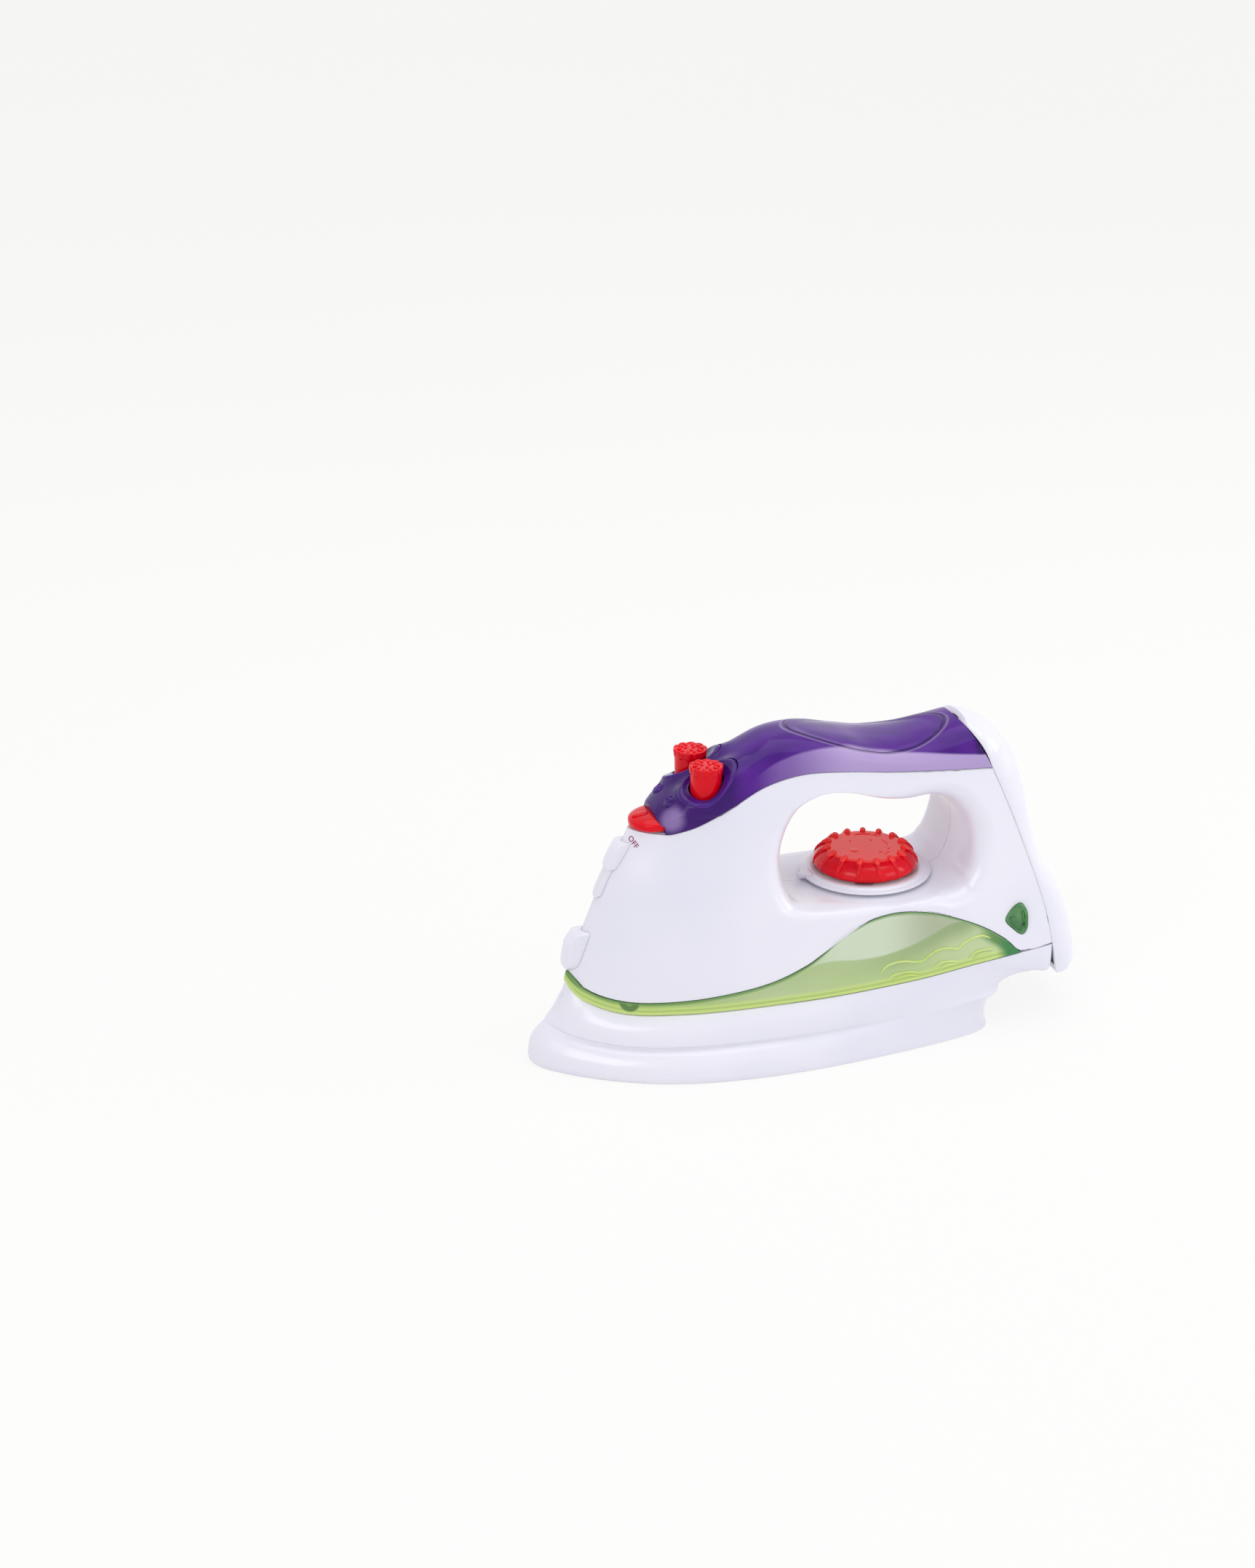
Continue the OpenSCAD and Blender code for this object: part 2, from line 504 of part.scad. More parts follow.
contact_steps = 10;
module cell_springs() {
  near = cell_l / 2 + contact_wire + fit_gap / 2;
  far = cell_l / 2 + contact_room - contact_wire - fit_gap / 2;
  color("silver") for (side = [-1, 1])
    tube_along([for (u = spread(0, 1, contact_turns * contact_steps + 1))
      let (r = mix(nub_r, 2 * nub_r, u), a = 360 * contact_turns * u)
      [cell_x + side * mix(near, far, u), side * cell_y + r * cos(a), cell_z + r * sin(a)]], contact_wire, 6);
}
contact_t = 0.4;
module cell_plates() {
  near = cell_l / 2 + fit_gap / 2;
  far = cell_l / 2 + contact_room - fit_gap / 2;
  color("silver") for (side = [-1, 1]) translate([cell_x, -side * cell_y, cell_z]) {
    x0 = side * (far - contact_t);
    x1 = side * far;
    slab(min(x0, x1), max(x0, x1), -nub_r, nub_r, -nub_r, nub_r);
    slab(min(side * near, x1), max(side * near, x1), -nub_r / 3, nub_r / 3, -nub_r / 3, nub_r / 3);
  }
}

// Electronics on the chassis plate, loudspeaker and sole sensor.
board_z = deck_z + deck_h + standoff_h;
parts_z = board_z + board_h;
blob_r = 5;
cap_r = 2;
cap_h = 5;
cap_count = 3;
plug_l = 8;
plug_w = 4;
plug_h = 3;
module main_board() {
  color("seagreen") {
    slab(board_x - board_l / 2, board_x + board_l / 2, -board_w / 2, board_w / 2, board_z, parts_z);
    for (i = [0:cap_count - 1])
      rod(board_x + board_l / 4 + i * 2.5 * cap_r, board_w / 4, board_z, parts_z + cap_h, cap_r);
    translate([board_x - board_l / 4, -board_w / 3, board_z]) cube([plug_l, plug_w, board_h + plug_h]);
  }
}
module chip_blob() {
  color("black") translate([board_x, 0, parts_z]) rotate_extrude()
    polygon([[0, 0], [blob_r, 0], for (a = [15:15:75]) blob_r * [cos(a), sin(a) / 3], [0, blob_r / 3]]);
}
magnet_h = 3;
magnet_shares = [0.8, 0.5];
module speaker() {
  color("darkslategray") translate([speaker_x, 0, plate_h]) {
    difference() {
      cylinder(h = 2 * wall, d = speaker_d);
      translate([0, 0, -EPS_CUT]) cylinder(h = EPS_CUT + wall, d = speaker_d - 2 * wall);
    }
    for (i = [0, 1]) translate([0, 0, 2 * wall + i * magnet_h])
      cylinder(h = magnet_h, d = speaker_d * magnet_shares[i]);
  }
}
module sensor_lens() {
  color("crimson", 0.8) rod(sensor_x, 0, fit_gap, plate_h + wall, sensor_r);
}
module sensor_board() {
  l = 2.4 * sensor_r;
  w = 2.2 * sensor_r;
  z = plate_h + wall;
  color("seagreen") slab(sensor_x - l / 2, sensor_x + l / 2, -w / 2, w / 2, z, z + board_h);
}
lamp_r = 1.5;
lamp_tall = 3.6 * lamp_r;
module lamp() {
  rotate_extrude() polygon([[0, 0], [1.25 * lamp_r, 0], [1.25 * lamp_r, lamp_r / 2], [lamp_r, lamp_r / 2],
    [lamp_r, lamp_tall - lamp_r], for (a = [15:15:75]) [lamp_r * cos(a), lamp_tall - lamp_r * (1 - sin(a))],
    [0, lamp_tall]]);
}
module tank_lamp() {
  color("lime") translate([board_x - board_l / 2 + 2 * lamp_r, 0, parts_z]) lamp();
}

// Bosses seen through the band, and the pale panels behind it.
band_boss_r = 2.4;
module tank_bosses() {
  y = half_width(boss_shares[0] * half_l, boss_shares[1] * half_h) - band_wall - band_boss_r - 2 * free_gap;
  color("green") for (side = [-1, 1])
    rod(boss_shares[0] * half_l, side * y, deck_z + deck_h, boss_shares[2] * half_h, band_boss_r);
}
panel_t = 0.8;
panel_gap = band_wall + 2 * free_gap;
panel_shares = [-4, 28];
panel_low_share = 0.8;
panel_top_share = 1.4;
panel_steps = 17;
panel_rows = 3;
module reflector(side) {
  xs = spread(panel_shares[side > 0 ? 0 : 1], panel_shares[side > 0 ? 1 : 0], panel_steps);
  ring = function(v, t) [for (x = xs)
    let (lo = curve(band_low_shares, x) + panel_low_share, hi = curve(band_top_shares, x) - panel_top_share,
      z = mix(lo, max(hi, lo + panel_low_share), v / panel_rows) * half_h)
    [x * half_l, side * (half_width(x * half_l, z) - panel_gap - t), z]];
  skin(concat([for (v = [0:panel_rows]) ring(v, 0)], [for (v = [panel_rows:-1:0]) ring(v, panel_t)]), false);
}
module left_reflector() {
  color("lavender") reflector(-1);
}
module right_reflector() {
  color("lavender") reflector(1);
}

// Rear window lenses, rounded three-sided picks set in the housing.
window_shares = [[-2.1, 0.6], [-1.5, 1.6], [-0.5, 2.5], [0.6, 3], [1.5, 2.6], [2.1, 1.4], [2.3, -0.3],
  [2.2, -1.9], [1.5, -2.7], [0.5, -2.4], [-0.8, -1.2], [-1.8, -0.2]];
window_t = 2.6;
window_proud = 0.7;
window_y = half_width(window_at[0], window_at[1]) + window_proud;
module window_prism(grow, y0, y1) {
  n = len(window_shares);
  pts = [for (s = spread(0, n - 1 / 3, 3 * n)) let (p = along(window_shares, s, true) * half_l)
    window_at + p * (1 + grow / norm(p))];
  translate([0, y1, 0]) rotate([90, 0, 0]) linear_extrude(y1 - y0) polygon(pts);
}
module right_window() {
  color("darkgreen", 0.8) window_prism(0, window_y - window_t, window_y);
}
module left_window() {
  mirror([0, 1, 0]) right_window();
}
module window_lamps() {
  color("white") for (side = [-1, 1])
    translate([window_at[0], side * (window_y - window_t - lamp_tall - fit_gap), window_at[1]])
      rotate([-side * 90, 0, 0]) lamp();
}

// Dial on its bezel, with shaft, bracket and click wheel.
shaft_r = shaft_d / 2;
bore_r = shaft_r + running_gap;
bearing_r = shaft_r + 1.6;
bezel_z = floor_z + free_gap;
bezel_step = 1.2;
pointer_l = 3;
pointer_w = 7;
bracket_h = 1.8;
bracket_z = floor_z - wall - bracket_h - 4 * free_gap;
wheel_r = 9;
wheel_h = 2.4;
wheel_gap = 1;
wheel_z = bracket_z - wheel_h - wheel_gap;
wheel_teeth = 12;
tooth_h = 1.2;
dial_z = bezel_z + bezel_h + free_gap;
dial_hole_h = 0.6 * dial_h;
module dial_bezel() {
  top = bezel_z + bezel_h;
  color("white") difference() {
    union() {
      rod(dial_x, 0, bezel_z, bezel_z + bezel_h / 2, bezel_d / 2);
      rod(dial_x, 0, bezel_z, top, bezel_d / 2 - bezel_step);
      rod(dial_x, 0, bracket_z + bracket_h, top, bearing_r);
      translate([dial_x - bezel_d / 2, 0, bezel_z]) linear_extrude(bezel_h)
        polygon([[-pointer_l, 0], [pointer_l, -pointer_w / 2], [pointer_l, pointer_w / 2]]);
    }
    translate([dial_x, 0, bracket_z]) drill(top - bracket_z, bore_r);
  }
}
module dial_bracket() {
  color("white") translate([dial_x, 0, bracket_z]) difference() {
    cylinder(h = bracket_h, r = wheel_r + 2 * wall);
    drill(bracket_h, bore_r);
  }
}
dial_shares = [[0, 0], [0.92, 0], [0.98, 0.12], [0.99, 0.28], [0.95, 0.45], [0.86, 0.62], [0.76, 0.77],
  [0.66, 0.88], [0.56, 0.95], [0.5, 0.96], [0.48, 0.92], [0.3, 0.92], [0.28, 0.97], [0, 1]];
rib_r = 1;
rib_lean = 26;
rib_shares = [0.88, 0.3, 0.62];
module dial() {
  r = dial_d / 2;
  color("red") translate([dial_x, 0, dial_z]) difference() {
    union() {
      rotate_extrude() polygon([for (p = dial_shares) [p[0] * r, p[1] * dial_h]]);
      for (i = [0:dial_ribs - 1]) rotate(360 * i / dial_ribs)
        translate([rib_shares[0] * r, 0, rib_shares[1] * dial_h]) rotate([0, -rib_lean, 0])
          cylinder(h = rib_shares[2] * dial_h, r = rib_r, $fn = 16);
    }
    translate([0, 0, -EPS_CUT]) cylinder(h = EPS_CUT + dial_hole_h, r = shaft_r + thread_gap);
  }
}
module dial_shaft() {
  color("ivory") rod(dial_x, 0, wheel_z, dial_z + dial_hole_h - fit_gap, shaft_r);
}
module click_wheel() {
  color("ivory") translate([dial_x, 0, wheel_z]) difference() {
    linear_extrude(wheel_h) polygon([for (i = [0:2 * wheel_teeth - 1])
      let (a = 180 * i / wheel_teeth) (i % 2 == 0 ? wheel_r : wheel_r - tooth_h) * [cos(a), sin(a)]]);
    drill(wheel_h, shaft_r + thread_gap);
  }
}
click_t = 0.5;
click_l = 8;
click_nose_r = 0.5;
module click_spring() {
  y = wheel_r + free_gap + 2 * click_nose_r;
  color("silver") {
    slab(dial_x - click_l / 2, dial_x + click_l / 2, y, y + click_t, wheel_z, bracket_z);
    slab(dial_x - click_l / 2, dial_x + click_l / 2, y - wall, y + click_t, bracket_z - click_t, bracket_z);
    rod(dial_x, y - click_nose_r / 2, wheel_z, wheel_z + wheel_h / 2, click_nose_r);
  }
}

// Collars of the handle cover and the wells that the two buttons move in.
collar_shares = [5.1, 0.4];
collar_side = 2.2;
collar_z = collar_low_share * half_h;
dish_share = 88.5;
dish_turn = [14.7, 25.1];
dish_deep = 1.4;
dish_wide = 1.2;
button_flare = 0.6;
low_r = button_d / 2 - button_flare;
guide_r = low_r + running_gap;
skirt_z = collar_z + button_travel / 2;
flare_h = 2.9;
flare_z = button_top - flare_h;
module at_buttons() {
  for (side = [-1, 1]) translate([button_x, side * button_y, 0]) children();
}
module collar_outlines(grow) {
  a = collar_shares[0] * half_l + grow;
  b = guide_r + collar_side + grow;
  at_buttons() translate([collar_shares[1] * half_l, 0, collar_z - grow]) linear_extrude(body_h)
    polygon([for (i = [0:$fn - 1]) [a * cos(360 * i / $fn), b * sin(360 * i / $fn)]]);
}
module button_wells() {
  at_buttons() rod(0, 0, skirt_z - button_travel - free_gap, body_h + EPS_CUT, low_r + free_gap);
}
module collar_dishes() {
  for (side = [-1, 1]) translate([button_x, side * button_y, dish_share * half_h])
    rotate([-side * dish_turn[0], -dish_turn[1], 0]) translate([0, 0, -dish_deep])
      cylinder(h = 2 * dish_deep, r1 = guide_r, r2 = guide_r + 2 * dish_wide);
}
module button_collars() {
  color("indigo") difference() {
    intersection() {
      cover_solid(collar_proud);
      collar_outlines(0);
    }
    cover_solid(-wall);
    collar_dishes();
    at_buttons() rod(0, 0, 0, 2 * body_h, guide_r);
    at_buttons() rod(0, 0, flare_z - button_travel - free_gap, 2 * body_h, button_d / 2 + free_gap);
  }
}

// Push buttons with stems, springs, guide frame, board and switches.
stem_r = 2.2;
spring_wire = 0.4;
spring_l = 10.8;
spring_turns = 5;
spring_steps = 12;
frame_h = 1.6;
frame_z = skirt_z - spring_l - frame_h;
leg_h = 7.8;
frame_shares = [-22.2, -15];
contact_board_z = frame_z - leg_h - board_h;
tact_w = 6;
tact_h = 3;
tact_cap_h = 0.8;
stem_z = contact_board_z + board_h + tact_h + tact_cap_h + button_travel + fit_gap;
crown_h = 1.1;
notch_r = 0.8;
crown_teeth = 10;
crown_bumps = 5;
module button(side) {
  top = button_top;
  color("red") translate([button_x, side * button_y, 0]) {
    difference() {
      union() {
        rod(0, 0, skirt_z, flare_z, low_r);
        translate([0, 0, flare_z]) cylinder(h = flare_h, r1 = low_r, r2 = button_d / 2);
      }
      rod(0, 0, top - crown_h, top + EPS_CUT, button_d / 2 - 2 * notch_r);
      for (i = [0:crown_teeth - 1]) rotate(360 * i / crown_teeth)
        translate([button_d / 2, 0, 0]) rod(0, 0, top - crown_h / 2, top + EPS_CUT, notch_r);
    }
    for (i = [0:crown_bumps - 1]) rotate(360 * i / crown_bumps)
      translate([button_d / 4, 0, 0]) rod(0, 0, top - 2 * crown_h, top - crown_h / 4, crown_h);
    rod(0, 0, stem_z, skirt_z + stem_r, stem_r);
  }
}
module left_button() {
  button(-1);
}
module right_button() {
  button(1);
}
module button_spring(side) {
  low = frame_z + frame_h + spring_wire + thread_gap;
  top = skirt_z - spring_wire - thread_gap;
  turn_r = stem_r + spring_wire + 2 * free_gap;
  color("silver")
    tube_along(coil(button_x, side * button_y, low, top, turn_r, spring_turns, spring_steps), spring_wire, 6);
}
module left_button_spring() {
  button_spring(-1);
}
module right_button_spring() {
  button_spring(1);
}
module button_frame() {
  x0 = frame_shares[0] * half_l;
  x1 = frame_shares[1] * half_l;
  color("gainsboro") {
    difference() {
      across(x0, x1, frame_z, frame_h, free_gap);
      at_buttons() translate([0, 0, frame_z]) drill(frame_h, stem_r + running_gap);
    }
    for (x = [x0 + wall, x1 - wall]) slab(x - wall / 2, x + wall / 2, -tact_w / 2, tact_w / 2,
      contact_board_z + board_h, frame_z + frame_h / 2);
  }
}
module button_board() {
  color("seagreen")
    across(frame_shares[0] * half_l, frame_shares[1] * half_l, contact_board_z, board_h, wall);
}
module tact_switches() {
  z = contact_board_z + board_h;
  color("dimgray") at_buttons() {
    slab(-tact_w / 2, tact_w / 2, -tact_w / 2, tact_w / 2, z, z + tact_h);
    rod(0, 0, z, z + tact_h + tact_cap_h, stem_r);
  }
}

// Power switch: a domed disc with a leaf-shaped grip, on a shaft with a wiper.
switch_r = switch_d / 2;
knob_shaft_r = 2;
seat_h = 1.6;
seat_r = switch_r - 2.2;
shaft_down = 8;
wiper_h = 1.2;
wiper_l = 5;
leaf_shares = [-0.84, -0.42, 0.54, 0.5];
leaf_r = 1.7;
leaf_sides = 24;
knob_shares = [[0.93, -0.5], [1, -0.34], [1, -0.06], [0.92, 0.16], [0.78, 0.3], [0.6, 0.38], [0.3, 0.43],
  [0, 0.44]];
module at_switch() {
  translate(switch_at) rotate([0, -switch_tilt, 0]) children();
}
module power_knob() {
  color("red") at_switch() difference() {
    union() {
      rotate_extrude()
        polygon([[0, -switch_h / 2], for (p = knob_shares) [p[0] * switch_r, p[1] * switch_h]]);
      hull() {
        translate([leaf_shares[0] * switch_r, 0, 0])
          cylinder(h = leaf_shares[3] * switch_h, r = leaf_r / 3, $fn = leaf_sides);
        translate([leaf_shares[1] * switch_r, 0, 0])
          cylinder(h = leaf_shares[2] * switch_h, r = leaf_r, $fn = leaf_sides);
      }
    }
    translate([0, 0, -switch_h / 2 - EPS_CUT])
      cylinder(h = EPS_CUT + switch_h / 2, r = knob_shaft_r + thread_gap);
  }
}
// Room for the disc in the cover and the housing: the disc's own shape and its seat, grown by the gap.
module switch_pocket() {
  under = switch_h / 2 + free_gap;
  low = under + seat_h + fit_gap;
  grown = [for (p = knob_shares) [p[0] * switch_r + (p[0] > 0 ? free_gap : 0),
    p[1] * switch_h + (p[1] > 0 ? free_gap : p[1] < knob_shares[1][1] ? -free_gap : 0)]];
  at_switch() {
    rotate_extrude()
      polygon(concat([[0, -low], [seat_r + fit_gap, -low], [seat_r + fit_gap, -under]], grown));
  }
}
module power_shaft() {
  color("ivory") at_switch() translate([0, 0, -switch_h / 2 - shaft_down])
    cylinder(h = shaft_down + switch_h / 2 - fit_gap, r = knob_shaft_r);
}
module power_wiper() {
  color("goldenrod") at_switch() translate([0, 0, fit_gap - switch_h / 2 - shaft_down]) difference() {
    union() {
      cylinder(h = wiper_h, r = 1.6 * knob_shaft_r);
      slab(0, wiper_l, -knob_shaft_r / 2, knob_shaft_r / 2, 0, wiper_h);
    }
    drill(wiper_h, knob_shaft_r + thread_gap);
  }
}
module power_seat() {
  color("white") at_switch() translate([0, 0, -switch_h / 2 - free_gap - seat_h]) difference() {
    cylinder(h = seat_h, r = seat_r);
    drill(seat_h, knob_shaft_r + running_gap);
  }
}
module power_contacts() {
  low = switch_h / 2 + shaft_down + board_h + free_gap;
  color("seagreen") at_switch() translate([0, 0, -low]) difference() {
    cylinder(h = board_h, r = wiper_l);
    drill(board_h, knob_shaft_r / 2);
  }
}

// Housing halves with their cuts, and the posts and screws that join them.
well_r = head_r + free_gap;
post_r = 3.2;
module housing_cuts() {
  rod(dial_x, 0, bracket_z, bezel_z + bezel_h, bearing_r + fit_gap);
  window_prism(fit_gap, window_y - 3 * wall, window_y + wall);
  button_wells();
  switch_pocket();
}
module left_housing() {
  color("white") mirror([0, 1, 0]) difference() {
    housing_half();
    housing_cuts();
  }
}
module right_housing() {
  color("white") difference() {
    housing_half();
    housing_cuts();
    for (p = post_shares) translate([p[0] * half_l, sole_w, p[1] * half_h]) rotate([90, 0, 0])
      cylinder(h = sole_w, r = well_r);
  }
}
module at_posts() {
  for (p = post_shares) let ($reach = half_width(p[0] * half_l, p[1] * half_h) - 2 * wall)
    translate([p[0] * half_l, $reach, p[1] * half_h]) rotate([90, 0, 0]) children();
}
module housing_posts() {
  color("white") at_posts() difference() {
    cylinder(h = 2 * $reach, r = post_r);
    drill(2 * $reach, shank_r + thread_gap);
  }
}
module housing_screws() {
  color("silver") at_posts() {
    translate([0, 0, -fit_gap / 2 - shank_r]) cylinder(h = shank_r, r = head_r);
    translate([0, 0, -fit_gap / 2 - shank_r]) cylinder(h = 2 * $reach - wall, r = shank_r);
  }
}

// Front features on the nose: the dummy filler lid with its tongue, and the spray nozzle.
lid_shares = [[69.6, 0.1, 0.8], [69.4, 0.75, 1], [67, 1, 1], [64, 0.85, 1], [61.8, 0.6, 0.95],
  [61.4, 0.2, 0.75], [60.9, 0.16, 0.72], [54, 0.16, 0.72], [52.8, 0.16, 0.55], [52.2, 0.1, 0.3]];
lid_out = 2.2;
lid_w = 7.4;
nozzle_shares = [[41.8, 0.1, 0.8], [41.4, 0.62, 1], [40, 0.86, 1], [38.2, 1, 1], [35.2, 0.86, 1],
  [32.6, 0.7, 1], [30.8, 0.54, 0.85], [29.9, 0.32, 0.55], [29.5, 0.1, 0.3]];
nozzle_out = 4.3;
nozzle_w = 8;
pad_steps = 8;
function nose_x(y, zs) = (curve(front_shares, zs) + nose_reach(zs)
  * pow(-ln(1 - abs(y) / (curve(width_shares, zs) * half_w)), 1 / nose_power)) * half_l;
module front_pad(table, out, wide) {
  row = function(u, depth) [for (p = table)
    let (y = u * p[2] * wide / 2, x0 = nose_x(0, p[0]) - p[1] * out * (1 - u ^ 4 / 4),
      back = nose_x(max(0, abs(y) - seam_gap / 2), p[0]) - fit_gap)
    [depth == 0 ? x0 : max(x0 + thread_gap, back), y, p[0] * half_h]];
  us = spread(-1, 1, pad_steps + 1);
  skin(concat([for (u = us) row(u, 0)], [for (i = [pad_steps:-1:0]) row(us[i], 1)]), false);
}
module filler_lid() {
  color("white") front_pad(lid_shares, lid_out, lid_w);
}
module spray_nozzle() {
  color("white") front_pad(nozzle_shares, nozzle_out, nozzle_w);
}

left_housing();
right_housing();
handle_cover();
rear_cover();
tank_band();
base_shell();
sole_plate();
battery_door();
door_screw();
chassis_plate();
battery_tray();
left_cell();
right_cell();
cell_springs();
cell_plates();
main_board();
chip_blob();
speaker();
sensor_lens();
sensor_board();
tank_lamp();
tank_bosses();
left_reflector();
right_reflector();
left_window();
right_window();
window_lamps();
dial_bezel();
dial_bracket();
dial();
dial_shaft();
click_wheel();
click_spring();
button_collars();
left_button();
right_button();
left_button_spring();
right_button_spring();
button_frame();
button_board();
tact_switches();
power_knob();
power_shaft();
power_wiper();
power_seat();
power_contacts();
filler_lid();
spray_nozzle();
housing_posts();
housing_screws();
base_screws();
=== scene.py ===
"""Toy steam iron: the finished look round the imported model, in metres.

X runs from the nose to the heel, Y to the far side, Z up from the sole.
"""

import json
import logging
import math
from dataclasses import dataclass
from enum import Enum
from typing import Callable, Sequence

import bpy
import numpy as np
from mathutils import Matrix, Vector
from mathutils.bvhtree import BVHTree


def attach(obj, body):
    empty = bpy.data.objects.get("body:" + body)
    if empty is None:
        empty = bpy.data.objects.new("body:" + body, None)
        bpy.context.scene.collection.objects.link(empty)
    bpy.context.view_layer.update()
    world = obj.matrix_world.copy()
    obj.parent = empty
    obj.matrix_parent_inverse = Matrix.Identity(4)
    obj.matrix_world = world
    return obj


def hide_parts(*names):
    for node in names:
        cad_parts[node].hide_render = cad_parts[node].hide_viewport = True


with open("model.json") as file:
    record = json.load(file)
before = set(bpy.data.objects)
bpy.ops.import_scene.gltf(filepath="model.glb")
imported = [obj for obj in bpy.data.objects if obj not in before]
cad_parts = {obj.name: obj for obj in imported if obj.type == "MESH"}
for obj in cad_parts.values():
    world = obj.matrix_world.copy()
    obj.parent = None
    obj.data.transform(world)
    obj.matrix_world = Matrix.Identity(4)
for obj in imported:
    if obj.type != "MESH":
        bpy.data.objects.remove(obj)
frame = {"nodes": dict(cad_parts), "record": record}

LOG = logging.getLogger("toy_iron")
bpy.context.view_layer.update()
MM = 0.001
Colour = tuple[float, float, float]
Point = tuple[float, float, float]
Table = tuple[tuple[float, float], ...]
Piece = bpy.types.Object
Socket = bpy.types.NodeSocket


class Body(Enum):
    """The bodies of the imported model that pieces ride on."""

    IRON = "iron"
    DIAL = "dial_set"
    LEFT_PUSH = "left_push"
    RIGHT_PUSH = "right_push"
    POWER = "power_set"


class Side(Enum):
    """The near (left) and the far (right) side of the iron."""

    NEAR = -1
    FAR = 1

    @property
    def hand(self) -> str:
        """The side's word in the model's names."""
        return "left" if self is Side.NEAR else "right"


def srgb(r: int, g: int, b: int) -> Colour:
    """Turns a colour of 0 to 255 steps into linear light."""

    def line(c: int) -> float:
        """One channel."""
        v = c / 255
        return v / 12.92 if v <= 0.04045 else ((v + 0.055) / 1.055) ** 2.4

    return line(r), line(g), line(b)


# The moulded form, in shares of the iron's size


def hermite(a: float, b: float, ma: float, mb: float, u: float) -> float:
    """A cubic between two values with given slopes."""
    ends = (2 * u**3 - 3 * u**2 + 1) * a + (u**3 - 2 * u**2 + u) * ma
    return ends + (3 * u**2 - 2 * u**3) * b + (u**3 - u**2) * mb


def curve(table: Table, x: float) -> float:
    """Reads a smooth curve through a table.

    Args:
        table: Pairs of place and value, in rising order of place.
        x: The place to read at.

    Returns:
        The value there.
    """
    i = 0
    while i < len(table) - 2 and x >= table[i + 1][0]:
        i += 1

    def rise(k: int) -> float:
        """The slope at a knot."""
        a, b = max(k - 1, 0), min(k + 1, len(table) - 1)
        return (table[b][1] - table[a][1]) / (table[b][0] - table[a][0])

    h = table[i + 1][0] - table[i][0]
    u = min(1.0, max(0.0, (x - table[i][0]) / h))
    return hermite(table[i][1], table[i + 1][1], rise(i) * h, rise(i + 1) * h, u)


def along(points: Sequence, s: float, closed: bool = False) -> np.ndarray:
    """Reads a smooth path through points.

    Args:
        points: The points, or plain values.
        s: The place, counted in points.
        closed: Whether the path joins up with its start.

    Returns:
        The point or value there.
    """
    n = len(points)
    i = math.floor(s) if closed else min(math.floor(s), n - 2)
    near = [(i + k) % n if closed else min(max(i + k, 0), n - 1) for k in (-1, 0, 1, 2)]
    p = [np.array(points[k], float) for k in near]
    return hermite(p[1], p[2], (p[2] - p[0]) / 2, (p[3] - p[1]) / 2, s - i)


def mix(a, b, u: float):
    """Blends two values or points."""
    return a + (b - a) * u


def spread(a: float, b: float, n: int) -> list[float]:
    """n values from a to b."""
    return [mix(a, b, i / (n - 1)) for i in range(n)]


